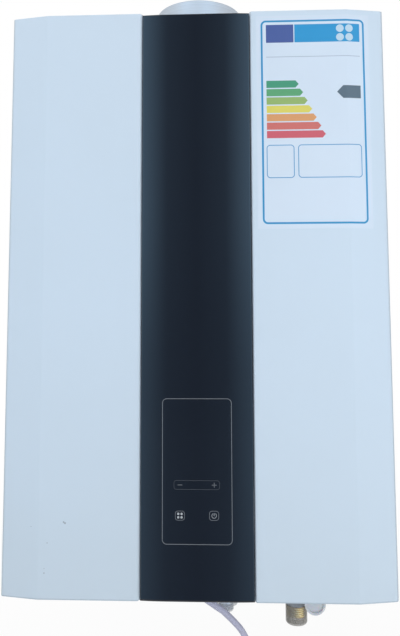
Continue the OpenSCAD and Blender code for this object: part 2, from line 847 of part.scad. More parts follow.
// Wheel with curved blades between a back disc and a shroud ring, on its own shaft
module fan_impeller() {
    r = impeller_d / 2;
    disc = scroll_front - impeller_front;
    shroud = scroll_back + impeller_back;
    shroud_t = 2;
    hub_r = shaft_d / 2 + 5;
    curve = bent(
        [[r - blade_in, 0], [r - blade_in * 0.35, blade_in * 0.25], [r - 1.4, blade_in * 0.75]],
        [blade_in]
    );
    color([0.60, 0.62, 0.63]) {
        rod_y(fan_x, fan_z, disc - 1, disc, r);
        rod_y(fan_x, fan_z, disc - 14, disc, hub_r);
        rod_y(fan_x, fan_z, disc - 20, motor_y + motor_l - 6, shaft_d / 2);
        difference() {
            rod_y(fan_x, fan_z, shroud, shroud + shroud_t, r);
            rod_y(fan_x, fan_z, shroud - past, shroud + shroud_t + past, r - blade_in);
        }
        translate([fan_x, 0, fan_z]) upright(shroud + shroud_t / 2, disc - shroud - 1.5)
            for (i = [0:blade_n - 1]) rotate(360 * i / blade_n) sheet(curve, blade_t);
    }
}

module fan_motor() {
    color([0.30, 0.31, 0.33]) difference() {
        union() {
            rod_y(fan_x, fan_z, motor_y, motor_y + 2, motor_d / 2 + 5);
            rod_y(fan_x, fan_z, motor_y, motor_y + motor_l - 6, motor_d / 2);
            rod_y(fan_x, fan_z, motor_y, motor_y + motor_l, motor_d / 3);
        }
        rod_y(fan_x, fan_z, motor_y - past, motor_y + motor_l - 3, shaft_d / 2 + run_gap);
        for (a = [0:45:315])
            translate([fan_x, 0, fan_z]) rotate([0, a, 0])
                rod_y(motor_d / 2, 0, motor_y + 5, motor_y + motor_l, 3);
    }
}

// Hood in side view: low rim over the exchanger, sloping roof, narrow duct behind the fan
hood_side = [
    [-core_back, hood_top],
    [-duct_front, hood_top],
    [-duct_front, hood_z + hood_rim + hood_rise],
    [-core_front, hood_z + hood_rim],
    [-core_front, hood_z + rest_gap],
    [-core_back, hood_z + rest_gap]
];

module flue_hood() {
    inner = inset(hood_side, hood_t);
    color([0.76, 0.76, 0.74]) difference() {
        across(core_w) polygon(hood_side);
        across(core_w - 2 * hood_t) polygon(concat(
            [for (i = [0:3]) inner[i]],
            [[-core_front + hood_t, hood_z - past], [-core_back - hood_t, hood_z - past]]
        ));
        rod_y(fan_x, fan_z, duct_front - hood_t - past, duct_front + past, inlet_d / 2);
    }
}

// Rows of the exchanger's tubes, counted from the wall
function tube_y(i) = core_mid + (i - (tube_n - 1) / 2) * tube_pitch;
electrode_step = 22;
electrode_up = 14;
electrode_r = 3;
electrode_x = [-electrode_step, 0, electrode_step];
electrode_z = shell_z + electrode_up;

// Open rectangular sleeve of the core's outline
module core_sleeve(z, h, t) {
    translate([0, -core_mid, z]) linear_extrude(h) difference() {
        square([core_w, core_d], center = true);
        square([core_w - 2 * t, core_d - 2 * t], center = true);
    }
}

module exchanger_shell() {
    color([0.72, 0.45, 0.32]) difference() {
        core_sleeve(shell_z, shell_h, shell_t);
        for (i = [0:tube_n - 1])
            rod_x(-core_w, core_w, tube_y(i), tube_z, tube_d / 2 + run_gap);
        for (x = electrode_x)
            rod_y(x, electrode_z, core_front - shell_t - past, core_front + past, electrode_r + loose);
    }
}

module exchanger_fins() {
    span = core_w - 2 * shell_t - fin_pitch;
    count = floor(span / fin_pitch / 2);
    color([0.76, 0.48, 0.34]) difference() {
        for (i = [-count:count])
            translate([i * fin_pitch - fin_t / 2, shell_t + 1 - core_front, tube_z - fin_h / 2])
                cube([fin_t, core_d - 2 * shell_t - 2, fin_h]);
        for (i = [0:tube_n - 1])
            rod_x(-core_w, core_w, tube_y(i), tube_z, tube_d / 2 + run_gap);
    }
}

// One serpentine: straight runs through the fins, joined by return bends outside the shell
module serpentine(r, extra) {
    end = core_w / 2 + tube_stub;
    near = core_w / 2 + 3;
    for (i = [0:tube_n - 1]) {
        left = i == tube_n - 1 ? -end - extra : -near;
        right = i == 0 ? end + extra : near;
        rod_x(left, right, tube_y(i), tube_z, r);
    }
    for (i = [0:tube_n - 2]) {
        s = i % 2 == 0 ? 180 : 0;
        translate([(s == 0 ? near : -near), -(tube_y(i) + tube_y(i + 1)) / 2, tube_z])
            rotate([0, 0, s - 90]) rotate_extrude(angle = 180) translate([tube_pitch / 2, 0]) circle(r);
    }
}

module exchanger_tubes() {
    color([0.74, 0.46, 0.33]) difference() {
        serpentine(tube_d / 2, 0);
        serpentine(tube_d / 2 - tube_wall, past);
    }
}

module overheat_switch() {
    x = core_w / 2 + rest_gap;
    z = shell_z + shell_h / 2 - 20;
    color([0.55, 0.53, 0.50]) {
        translate([x, -core_mid - 12, z - 8]) cube([1, 24, 16]);
        rod_x(x + 0.5, x + 8, core_mid, z, 8);
        for (s = [-1, 1]) translate([x + 7.5, -core_mid + s * 4 - 0.4, z - 3]) cube([7, 0.8, 6]);
    }
}

// Places of the burner bars, shared with jets and tray
bar_x = [for (i = [0:bar_n - 1]) (i - (bar_n - 1) / 2) * bar_pitch];
tray_hole_d = jet_d + 2;

module burner_tray() {
    color([0.74, 0.75, 0.76]) difference() {
        union() {
            core_sleeve(burner_z, burner_h - rest_gap, burner_t);
            for (y = [-core_front, -core_back - ledge_w])
                translate([-core_w / 2, y, burner_z]) cube([core_w, ledge_w, burner_t]);
        }
        for (x = bar_x)
            rod_y(x, jet_height, core_front - burner_t - past, core_front + past, tray_hole_d / 2);
    }
}

// One burner bar: wide foot with the mixing tube, narrow neck, slotted head
module burner_bar() {
    foot = bar_w / 2;
    neck = bar_w / 5;
    head = bar_w / 3;
    shoulder = jet_z + foot;
    tall = burner_h - 12;
    length = core_d - 2 * burner_t - 2 * loose;
    slots = 6;
    half_side = [
        [foot, 0], [foot, shoulder], [neck, shoulder + 12], [neck, tall - 8], [head, tall - 5], [head, tall]
    ];
    difference() {
        upright(core_back + burner_t + loose, length) polygon(concat(
            half_side,
            [for (i = [len(half_side) - 1:-1:0]) [-half_side[i][0], half_side[i][1]]]
        ));
        rod_y(0, jet_z - burner_t, core_front - 60, core_front, jet_d / 2 + 0.6);
        for (i = [1:slots])
            translate([-head - past, -core_back - burner_t - loose - length * i / (slots + 1), tall - 4])
                cube([2 * head + 2 * past, 1.2, 4 + past]);
    }
}

module burner_bars() {
    color([0.66, 0.66, 0.66]) for (x = bar_x)
        translate([x, 0, burner_z + burner_t + rest_gap]) burner_bar();
}

// Ceramic-sleeved electrodes on one mounting plate at the front of the chamber
igniter_plate_t = 1.2;
igniter_plate_h = 16;
igniter_plate_edge = 10;
sleeve_in = 14;
sleeve_out = 12;
spark_tip_l = 16;
spark_tip_r = 1;

module ignition_electrodes() {
    plate = core_front + rest_gap;
    plate_w = 2 * (electrode_step + igniter_plate_edge);
    tip = plate - sleeve_in;
    color([0.88, 0.87, 0.83]) {
        upright(plate, igniter_plate_t)
            translate([0, electrode_z]) rounded(plate_w, igniter_plate_h, electrode_r);
        for (x = electrode_x) {
            rod_y(x, electrode_z, tip, plate + sleeve_out, electrode_r);
            rod_y(x, electrode_z, tip - spark_tip_l, tip + spark_tip_r, spark_tip_r);
        }
    }
}

jet_screw_l = 5;
jet_screw_r = jet_d / 2 - 1;
jet_bore_r = 0.6;
foot_w = 26;
foot_h = 26;
foot_z = valve_base + 14;
valve_front = stub_y + valve_d / 2;

module gas_manifold() {
    bar_half = bar_x[bar_n - 1] + 8;
    color([0.68, 0.69, 0.70]) difference() {
        union() {
            upright(manifold_back, manifold_d)
                translate([0, jet_height]) rounded(2 * bar_half, manifold_h, 3);
            for (s = [-1, 1])
                upright(core_front + rest_gap, manifold_gap + 1)
                    translate([s * (bar_half - 4), jet_height + manifold_h / 2 + 3]) rounded(14, 14, 3);
            for (s = [-1, 1])
                upright(manifold_back, 4)
                    translate([s * (bar_half - 4), jet_height + manifold_h / 2 + 3]) rounded(14, 14, 3);
            translate([gas_x, -(manifold_back + manifold_front) / 2, foot_z]) cylinder(
                h = jet_height - foot_z, d = manifold_d);
            upright(valve_front + rest_gap, manifold_front - valve_front - rest_gap)
                translate([gas_x, foot_z]) rounded(foot_w, foot_h, 4);
        }
        for (x = bar_x)
            rod_y(x, jet_height, manifold_back - past, manifold_back + jet_screw_l + past,
                jet_screw_r + run_gap);
    }
}

module gas_jets() {
    tip_l = 5;
    color([0.80, 0.66, 0.35]) for (x = bar_x) difference() {
        union() {
            rod_y(x, jet_height, manifold_back - rest_gap - tip_l, manifold_back - rest_gap, jet_d / 2);
            rod_y(x, jet_height, manifold_back - tip_l / 2, manifold_back + jet_screw_l, jet_screw_r);
        }
        rod_y(x, jet_height, manifold_back - tip_l - past, manifold_back + jet_screw_l + past, jet_bore_r);
    }
}

valve_x = gas_x - 6;

module gas_valve() {
    color([0.74, 0.75, 0.77]) {
        translate([valve_x, -stub_y, valve_base]) linear_extrude(valve_h) rounded(valve_w, valve_d, 5);
        translate([valve_x, -stub_y, valve_base + valve_h - 1])
            linear_extrude(5) rounded(valve_w - 8, valve_d - 8, 4);
        translate([gas_x, -stub_y, floor_in + barrel_up + rest_gap]) cylinder(
            h = valve_z - barrel_up, d = barrel_d + 4);
    }
}

module gas_solenoids() {
    z = valve_base + valve_h / 2;
    face = valve_w / 2 + rest_gap;
    color([0.25, 0.30, 0.42]) for (s = [0, 1]) translate([valve_x, 0, 0]) mirror([s, 0, 0]) {
        rod_x(face, face + coil_l, stub_y, z, coil_d / 2);
        rod_x(face + coil_l - 1, face + coil_l + 3, stub_y, z, 5);
    }
}

// Pipe stub on the axis: flange under the bottom panel, barrel up through it, thread of diameter d below
module stub(reach, thread, d) {
    translate([0, 0, floor_z - rest_gap - stub_flange_t]) linear_extrude(stub_flange_t)
        rounded(stub_flange, stub_flange, 5);
    translate([0, 0, thread - reach]) cylinder(h = sensor_z + reach - thread, d = barrel_d);
    translate([0, 0, -reach]) cylinder(h = thread + past, d = d);
}

module stub_bore(reach, d) {
    translate([0, 0, -reach - past]) cylinder(h = sensor_z + reach + 2 * past, d = d);
}

module gas_inlet() {
    color([0.72, 0.73, 0.75]) translate([gas_x, -stub_y, 0]) difference() {
        stub(gas_reach, thread_l, gas_thread_d);
        stub_bore(gas_reach, gas_bore);
    }
}

// Depth of the sockets that the water pipes are soldered into
socket_d = 8;

module hot_outlet() {
    color([0.80, 0.66, 0.35]) translate([-hot_x, -hot_y, 0]) difference() {
        stub(hot_reach, thread_l, thread_d);
        stub_bore(hot_reach, stub_bore);
        translate([0, 0, sensor_z - socket_d]) cylinder(h = socket_d + past, d = tube_d + 2 * run_gap);
    }
}

knob_x = cold_x + knob_dx;
seat_y = knob_y - knob_t - 0.3;
neck_r = stem_d / 2 + 4;

// Cold inlet casting with a side branch that carries the drain valve
module water_inlet() {
    color([0.80, 0.66, 0.35]) difference() {
        union() {
            translate([cold_x, -stub_y, 0]) stub(cold_reach, cold_thread, thread_d);
            translate([cold_x, -stub_y - neck_r, -knob_low - neck_r])
                cube([knob_dx, 2 * neck_r, 2 * neck_r]);
            rod_y(knob_x, -knob_low, stub_y - neck_r, seat_y, neck_r);
        }
        translate([cold_x, -stub_y, 0]) stub_bore(cold_reach, stub_bore);
        rod_y(knob_x, -knob_low, stub_y, seat_y + past, stem_d / 2 + run_gap);
        rod_x(cold_x, knob_x, stub_y, -knob_low, 2);
    }
}

module drain_seal() {
    color([0.12, 0.12, 0.12]) difference() {
        rod_y(knob_x, -knob_low, seat_y + 0.02, seat_y + 0.28, neck_r - 1);
        rod_y(knob_x, -knob_low, seat_y - past, seat_y + past, stem_d / 2 + 0.4);
    }
}

// Dished knob with finger grips round its rim, on a plain stem
module drain_knob() {
    r = knob_d / 2;
    grips = 12;
    color([0.80, 0.81, 0.88]) difference() {
        union() {
            rod_y(knob_x, -knob_low, knob_y - knob_t, knob_y, r);
            rod_y(knob_x, -knob_low, stub_y + 4, knob_y - 1, stem_d / 2);
        }
        rod_y(knob_x, -knob_low, knob_y - 1.5, knob_y + past, r - 2);
        for (i = [0:grips - 1])
            translate([knob_x, 0, -knob_low]) rotate([0, 360 * i / grips, 0])
                rod_y(r + 0.8, 0, knob_y - knob_t - past, knob_y - 2.5, 1.4);
    }
}

// Protective cap over a thread of diameter d: closed end down with a rounded edge, space under the thread,
// and a flared rim where rim is wider than nothing
cap_end = 2;
cap_round = 2.2;
cap_flare = 3.5;
cap_rim_t = 0.8;

module cap(x, y, reach, d, h, rim, space) {
    r_in = d / 2 + run_gap;
    r_out = r_in + cap_wall;
    r_rim = r_out + rim;
    edge = corner([0, 0], [r_out, 0], [r_out, h], cap_round);
    skirt = rim > 0 ? [[r_out, h - cap_flare], [r_rim, h - cap_rim_t], [r_rim, h]] : [[r_out, h]];
    inside = [[r_in, h], [r_in, cap_end], [0, cap_end]];
    color([0.85, 0.85, 0.80, 0.6]) translate([x, -y, -reach - space - cap_end])
        rotate_extrude() polygon(concat([[0, 0]], edge, skirt, inside));
}

module cold_cap() {
    cap(cold_x, stub_y, cold_reach, thread_d, cold_cap_h, 0, cold_cap_space);
}

module gas_cap() {
    cap(gas_x, stub_y, gas_reach, gas_thread_d, gas_cap_h, cap_rim, rest_gap);
}

module hot_cap() {
    cap(-hot_x, hot_y, hot_reach, thread_d, hot_cap_h, cap_rim, rest_gap);
}

// Heights of the rotor and its two bearing bridges in the flow sensor
rotor_z = sensor_z + (sensor_h - rotor_h) / 2;
pivot_d = 2;
bridge_h = 3;
sensor_bore = rotor_d + 2;

module flow_sensor() {
    color([0.15, 0.16, 0.17]) translate([cold_x, -stub_y, 0]) {
        difference() {
            translate([0, 0, sensor_z + rest_gap]) cylinder(h = sensor_h - rest_gap, d = sensor_d);
            translate([0, 0, sensor_z - past]) cylinder(h = sensor_h - socket_d + past, d = sensor_bore);
            translate([0, 0, sensor_z]) cylinder(h = sensor_h + past, d = tube_d + 2 * run_gap);
        }
        for (z = [rotor_z - 0.5 - bridge_h, rotor_z + rotor_h + 0.5])
            translate([0, 0, z]) difference() {
                union() {
                    translate([-sensor_bore / 2 - 1, -1.5, 0]) cube([sensor_bore + 2, 3, bridge_h]);
                    cylinder(h = bridge_h, d = pivot_d + 3);
                }
                translate([0, 0, -past]) cylinder(h = bridge_h + 2 * past, d = pivot_d + 2 * run_gap);
            }
        translate([-8, -sensor_d / 2 - 5, sensor_z + sensor_h / 3]) cube([16, 8, 14]);
    }
}

// Turbine wheel with slanted vanes on a pivot pin
module flow_rotor() {
    vanes = 6;
    slant = 25;
    vane_t = 1.2;
    vane_h = rotor_h - 3;
    hub_r = rotor_d / 4;
    side = vane_h / 2 * sin(slant) + vane_t;
    reach = sqrt(pow(rotor_d / 2, 2) - side * side) - hub_r / 2;
    color([0.85, 0.86, 0.88]) translate([cold_x, -stub_y, rotor_z]) {
        cylinder(h = rotor_h, r = hub_r);
        translate([0, 0, -bridge_h]) cylinder(h = rotor_h + 2 * bridge_h, d = pivot_d);
        for (i = [0:vanes - 1]) rotate([0, 0, 360 * i / vanes])
            translate([hub_r / 2, 0, rotor_h / 2]) rotate([slant, 0, 0])
                translate([0, -vane_t / 2, -vane_h / 2]) cube([reach, vane_t, vane_h]);
    }
}

tube_end = core_w / 2 + tube_stub;
riser_x = cold_x + riser_out;
sensor_top = sensor_z + sensor_h;
pipe_clear = 1;

module cold_pipe() {
    base = sensor_top - socket_d + rest_gap;
    turn = base + socket_d + pipe_bend + pipe_clear;
    color([0.74, 0.46, 0.33]) bent_pipe(
        [
            [cold_x, -stub_y, base],
            [cold_x, -stub_y, turn],
            [riser_x, -stub_y, turn],
            [riser_x, -stub_y, tube_z],
            [riser_x, -tube_y(0), tube_z],
            [tube_end + rest_gap, -tube_y(0), tube_z]
        ],
        tube_d / 2, tube_wall, pipe_bend);
}

module hot_pipe() {
    left = -hot_x - riser_out;
    base = sensor_z - socket_d + rest_gap;
    turn = base + socket_d + pipe_bend + pipe_clear;
    color([0.74, 0.46, 0.33]) bent_pipe(
        [
            [-tube_end - rest_gap, -hot_y, tube_z],
            [left, -hot_y, tube_z],
            [left, -hot_y, turn],
            [-hot_x, -hot_y, turn],
            [-hot_x, -hot_y, base]
        ],
        tube_d / 2, tube_wall, pipe_bend);
}

lid_t = 2;
board_t = 1.6;
board_up = 6;

module control_place() {
    translate([control_left + control_w / 2, 0, control_z + control_h / 2]) children();
}

module control_box() {
    back = wall_in + rest_gap;
    color([0.88, 0.88, 0.85]) control_place() {
        difference() {
            upright(back, control_d) rounded(control_w, control_h, 3);
            upright(back + control_wall, control_d)
                rounded(control_w - 2 * control_wall, control_h - 2 * control_wall, 2);
        }
        for (x = [-1, 1], z = [-1, 1])
            rod_y(x * control_w / 3, z * control_h / 2.6, back + control_wall - rest_gap,
                back + control_wall + board_up, 3);
    }
}

// Circuit board and what stands on it: transformer above, relays in the middle, capacitors and plugs below
board_edge = 1;
transformer = [30, 26, 16];
relay = [18, 14, 14];
relay_step = 18;
capacitor_r = 6;
capacitor_h = 18;
capacitor_step = 14;
plug_row = [24, 34, 8];

module board_block(size, x, z) {
    upright(wall_in + control_wall + board_up + board_t, size[2])
        translate([x, z]) square([size[0], size[1]], center = true);
}

module control_board() {
    back = wall_in + control_wall + board_up + 2 * rest_gap;
    board_w = control_w - 2 * (control_wall + board_edge);
    board_h = control_h - 2 * (control_wall + board_edge);
    low = -board_h / 2;
    right = board_w / 2;
    color([0.12, 0.38, 0.22]) control_place() {
        upright(back, board_t) square([board_w, board_h], center = true);
        board_block(transformer, transformer[0] / 2 - right + 4 * board_edge, -low - transformer[1]);
        for (i = [-1:1]) board_block(relay, right - relay[0] / 2 - board_edge, i * relay_step + board_edge);
        board_block(plug_row, right - plug_row[0] / 2 - 4 * board_edge, low + plug_row[1]);
        for (i = [1:3])
            rod_y(-right + 2 * capacitor_r, low + i * capacitor_step + capacitor_r, back + board_t / 2,
                back + board_t + capacitor_h, capacitor_r);
    }
}

module control_lid() {
    front = wall_in + rest_gap + control_d + rest_gap;
    color([0.88, 0.88, 0.85]) control_place() {
        upright(front, lid_t) rounded(control_w, control_h, 3);
        difference() {
            upright(front - 3, 3.1)
                rounded(control_w - 2 * control_wall - loose, control_h - 2 * control_wall - loose, 2);
            upright(front - 3 - past, 3 + past)
                rounded(control_w - 4 * control_wall, control_h - 4 * control_wall, 1.5);
        }
    }
}

module spark_igniter() {
    back = wall_in + rest_gap;
    igniter_w = 44;
    igniter_h = 58;
    igniter_d = 26;
    foot_up = 10;
    foot_t = 3;
    post_l = 8;
    side_gap = 14;
    up = 40;
    x = flange_x - side_gap - igniter_w / 2;
    z = control_z + up;
    color([0.16, 0.16, 0.17]) {
        upright(back, igniter_d) translate([x, z]) rounded(igniter_w, igniter_h, foot_t);
        upright(back, foot_t) translate([x, z]) rounded(igniter_w, igniter_h + 2 * foot_up, foot_t);
        for (s = [-1, 1])
            rod_y(x + s * igniter_w / 4, z, back + igniter_d - 1, back + igniter_d + post_l, post_l / 2);
    }
}

switch_side = 12;
switch_x = flange_x - switch_d / 2 - switch_side;
switch_y = 24;
switch_port = 12;
switch_ear = 7;
switch_foot_h = 24;
switch_foot_t = 2;
switch_neck = 11;
switch_drum = 23;
switch_step = 4;

module pressure_switch() {
    back = wall_in + rest_gap;
    neck = back + switch_foot_t + switch_neck;
    color([0.30, 0.32, 0.36]) difference() {
        union() {
            upright(back, switch_foot_t)
                translate([switch_x, tap_z]) rounded(switch_d + 2 * switch_ear, switch_foot_h, switch_step);
            rod_y(switch_x, tap_z, back, neck, switch_d / 2 - switch_step);
            rod_y(switch_x, tap_z, neck - switch_foot_t, neck + switch_drum - switch_foot_t, switch_d / 2);
            rod_x(switch_x - switch_d / 2 - switch_port, switch_x, switch_y, tap_z, tap_r);
        }
        rod_x(switch_x - switch_d / 2 - switch_port - past, switch_x - switch_d / 2, switch_y, tap_z,
            tap_r - 1);
    }
}

// Soft tube pushed over the scroll's tap and the switch's port
module pressure_hose() {
    first = fan_x + scroll_r_out + 2;
    last = switch_x - switch_d / 2 - 2;
    middle = (first + last) / 2;
    color([0.45, 0.47, 0.50]) bent_pipe(
        [
            [first, -tap_y, tap_z],
            [middle, -tap_y, tap_z],
            [middle, -switch_y, tap_z],
            [last, -switch_y, tap_z]
        ],
        tap_r + run_gap + 1.2, 1.2, 12);
}

// Strain relief: nut inside, collar outside, tail sloping down to the right
relief_dir = [cos(relief_slope), 0, -sin(relief_slope)];
relief_base = [-relief_x, -relief_y, floor_z - 0.2];
relief_end = relief_base + relief_l * relief_dir;

module cord_relief() {
    color([0.62, 0.62, 0.70]) {
        translate([-relief_x, -relief_y, floor_in + rest_gap])
            cylinder(h = 6, r = relief_hole_d / 2 + 3, $fn = 6);
        translate([-relief_x, -relief_y, floor_z - 2]) cylinder(h = 10, d = relief_hole_d);
        translate([-relief_x, -relief_y, floor_z - rest_gap - 2]) cylinder(h = 2, r = relief_hole_d / 2 + 3);
        difference() {
            translate(relief_base) rotate([0, 90 + relief_slope, 0])
                cylinder(h = relief_l, r1 = cord_r + 4, r2 = cord_r + 1.2);
            translate([-relief_x - 30, -relief_y - 30, floor_z - 2 * rest_gap]) cube([60, 60, 30]);
        }
    }
}

// Stored coil: spirals in over one layer, climbs as it turns back, spirals out over the next
coil_centre = [11.8, -54, -136];
coil_r_out = coil_r_in + coil_pitch * coil_turns / 2;
coil_start = coil_centre + [coil_r_out, -coil_pitch / 2, 0];
coil_tail = 28;
loop_rings = 24;

function smooth(t) = t * t * (3 - 2 * t);
function climb(t) = smooth(min(1, max(0, t - coil_turns / 2 + 0.5)));
function coil_point(t) =
    let (r = coil_r_in + coil_pitch * abs(t - coil_turns / 2))
    coil_centre + [r * cos(360 * t), coil_pitch * (climb(t) - 0.5), -r * sin(360 * t)];
coil_loops = [for (i = [0:loop_rings * coil_turns]) coil_point(i / loop_rings)];
coil_end = coil_point(coil_turns) + [0, 0, -coil_tail];
coil_path = concat([coil_start + [0, 0, cord_d]], coil_loops, [coil_end]);

// Least gap of the coil to itself, from points half a turn or more apart
coil_gap = min([
    for (i = [0:len(coil_loops) - 1], j = [i + loop_rings / 2:1:len(coil_loops) - 1])
        norm(coil_loops[i] - coil_loops[j])
]) - cord_d;
echo(coil_gap = coil_gap);

// Free stretch from the strain relief, out to the right, down and back to the coil
lead_path = concat(
    [relief_end, relief_end + 8 * relief_dir],
    [
        [10, -100, -21.4],
        [16.5, -100, -25.6],
        [22, -99.6, -29.2],
        [27, -99, -33.7],
        [34, -97, -41.3],
        [39.2, -95, -47.8],
        [43, -92.6, -54.6],
        [46.8, -88.8, -64],
        [50.6, -83.5, -76],
        [54, -76.5, -89],
        [56.6, -68.5, -102.5],
        [57.7, -61.5, -116]
    ],
    [coil_start + [0, 0, 1.5 * cord_d], coil_start + [0, 0, cord_d]]
);

// Direction of a path at one of its points
function heading(p, i) = unit(p[min(i + 1, len(p) - 1)] - p[max(i - 1, 0)]);

// Ring of points round a path, square to its heading
function ring(p, i, r, sides) =
    let (d = heading(p, i))
    let (a = unit(cross([0, 1, 0], d)))
    let (b = cross(d, a))
    [for (k = [0:sides - 1]) p[i] + r * (cos(360 * k / sides) * a + sin(360 * k / sides) * b)];

// Closed tube swept along a path, all faces triangles
module tube(p, r, sides) {
    rings = len(p);
    points = [for (i = [0:rings - 1]) each ring(p, i, r, sides)];
    walls = [
        for (i = [0:rings - 2], k = [0:sides - 1])
            let (a = i * sides + k, b = i * sides + (k + 1) % sides)
            each [[a, a + sides, b + sides], [a, b + sides, b]]
    ];
    top = (rings - 1) * sides;
    caps = [for (k = [1:sides - 2]) each [[0, k, k + 1], [top, top + k + 1, top + k]]];
    polyhedron(concat(points), concat(walls, caps));
}

module cord_lead() {
    color([0.66, 0.66, 0.76]) tube(lead_path, cord_r, 8);
}

module cord_coil() {
    color([0.66, 0.66, 0.76]) tube(coil_path, cord_r, 6);
}

// Strap round the bundle at the top of the coil
module cord_tie() {
    wide = coil_r_out - coil_r_in - coil_pitch / 2 + cord_d + 1.2;
    deep = coil_pitch + cord_d + 0.8;
    band = 1.2;
    strap_w = 10;
    mid = coil_centre + [0, 0, (coil_r_in + coil_r_out) / 2];
    color([0.15, 0.15, 0.16]) translate(mid) rotate([0, 90, 0])
        translate([0, 0, -strap_w / 2]) linear_extrude(strap_w) difference() {
            rounded(wide + 2 * band, deep + 2 * band, 4 + band);
            rounded(wide, deep, 4);
        }
}

plug_r = 18.5;
plug_l = 38;
plug_top = coil_end + [0, 0, -rest_gap];

// Round earthed plug, turned from one outline: neck, swelling body, flat face with a step
module plug_body() {
    color([0.66, 0.66, 0.76]) translate(plug_top) difference() {
        rotate_extrude() polygon([
            [0, 0],
            [cord_r + 1.5, 0],
            [cord_r + 2.6, -10],
            [plug_r * 0.62, -17],
            [plug_r * 0.9, -23],
            [plug_r, -27],
            [plug_r, -plug_l + 1],
            [plug_r - 1, -plug_l],
            [0, -plug_l]
        ]);
        for (s = [-1, 1])
            translate([0, s * 9.5, -plug_l - past]) cylinder(h = 13, r = 2.4 + run_gap);
    }
}

module plug_pins() {
    color([0.80, 0.78, 0.70]) for (s = [-1, 1])
        translate(plug_top + [0, s * 9.5, -plug_l - 19]) {
            cylinder(h = 30, r = 2.4);
            translate([0, 0, -1.2]) cylinder(h = 1.2, r1 = 1.4, r2 = 2.4);
        }
}

front_cover();
glass_panel();
panel_tape();
touch_housing();
touch_board();
back_panel();
top_panel();
bottom_panel();
cover_seals();
cover_screws();
support_brackets();
flue_collar();
flue_flange();
flue_gasket();
flue_screws();
exhaust_spigot();
fan_scroll();
fan_plate();
fan_impeller();
fan_motor();
flue_hood();
exchanger_shell();
exchanger_fins();
exchanger_tubes();
overheat_switch();
burner_tray();
burner_bars();
ignition_electrodes();
gas_manifold();
gas_jets();
gas_valve();
gas_solenoids();
gas_inlet();
gas_cap();
water_inlet();
flow_sensor();
flow_rotor();
cold_pipe();
hot_pipe();
hot_outlet();
cold_cap();
hot_cap();
drain_knob();
drain_seal();
control_box();
control_board();
control_lid();
spark_igniter();
pressure_switch();
pressure_hose();
cord_relief();
cord_lead();
cord_coil();
cord_tie();
plug_body();
plug_pins();
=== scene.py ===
import math

import bpy
import numpy as np
from mathutils import Matrix, Vector


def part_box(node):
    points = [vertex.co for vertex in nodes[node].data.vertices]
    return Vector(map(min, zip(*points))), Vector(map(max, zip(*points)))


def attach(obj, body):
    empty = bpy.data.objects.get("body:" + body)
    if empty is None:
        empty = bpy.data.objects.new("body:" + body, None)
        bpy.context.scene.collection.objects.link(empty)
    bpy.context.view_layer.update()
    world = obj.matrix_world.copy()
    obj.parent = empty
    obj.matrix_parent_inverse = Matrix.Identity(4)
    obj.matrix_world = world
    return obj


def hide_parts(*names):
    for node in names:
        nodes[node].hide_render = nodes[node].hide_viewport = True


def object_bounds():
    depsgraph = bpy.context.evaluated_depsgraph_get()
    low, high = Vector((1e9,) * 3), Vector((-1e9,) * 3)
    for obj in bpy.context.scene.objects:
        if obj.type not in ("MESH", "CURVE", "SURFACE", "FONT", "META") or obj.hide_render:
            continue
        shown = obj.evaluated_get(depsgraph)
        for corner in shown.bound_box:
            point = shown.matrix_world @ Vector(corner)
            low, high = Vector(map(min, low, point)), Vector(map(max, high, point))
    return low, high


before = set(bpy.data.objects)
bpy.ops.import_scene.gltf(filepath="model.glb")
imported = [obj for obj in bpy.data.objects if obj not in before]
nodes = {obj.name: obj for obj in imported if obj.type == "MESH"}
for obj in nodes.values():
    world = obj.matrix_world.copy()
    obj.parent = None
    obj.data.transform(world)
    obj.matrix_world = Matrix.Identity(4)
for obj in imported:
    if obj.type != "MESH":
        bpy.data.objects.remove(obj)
cad_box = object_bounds()
scene = bpy.context.scene
scene.view_settings.view_transform = "Standard"

# The viewpoint. A hand-held camera stands a little right of the heater and level with its middle,
# turned slightly left and tipped a few degrees. The lens's axis meets the picture above its centre.
picture_w, picture_h = 400, 636
focal_px = 640.0
axis_px = (201.4, 256.3)
eye = (0.0296, -0.7438, 0.2568)
tip, swing, roll = (math.radians(a) for a in (-5.025, 2.362, -0.409))


def turn(angle, axis):
    """Rotation by an angle about one of the three axes, as a 3 by 3 array."""
    return np.array(Matrix.Rotation(angle, 3, axis))


looking_level = np.array([[1, 0, 0], [0, 0, -1], [0, 1, 0]], float)
to_camera = turn(roll, "Z") @ turn(swing, "Y") @ turn(tip, "X") @ looking_level
camera = bpy.data.objects.new("camera", bpy.data.cameras.new("camera"))
pose = np.eye(4)
pose[:3, :3] = np.stack([to_camera[0], -to_camera[1], -to_camera[2]], axis=1)
pose[:3, 3] = eye
camera.matrix_world = Matrix(pose.tolist())
camera.data.sensor_width = 36.0
camera.data.lens = focal_px * camera.data.sensor_width / picture_h
camera.data.shift_x = (picture_w / 2 - axis_px[0]) / picture_h
camera.data.shift_y = (axis_px[1] - picture_h / 2) / picture_h
camera.data.clip_start = 0.01
scene.collection.objects.link(camera)
scene.camera = camera

# The mains lead. A round three-core lead in pale lavender-grey vinyl leaves the strain relief under the
# casing, bends down to the right and runs back to a tied coil that hangs below, with the plug at its end.
# Its route is set out in millimetres.
lead_d = 0.006
relief_slope, relief_l, straight_out = math.radians(33), 30.0, 8.0
relief_base = np.array([-28.5, -100.0, 3.6])
relief_heading = np.array([math.cos(relief_slope), 0, -math.sin(relief_slope)])
relief_end = relief_base + relief_l * relief_heading
coil_middle = np.array([11.8, -54.0, -136.0])
coil_turns, coil_pitch, coil_inner, coil_tail = 6, 6.6, 26.0, 28.0


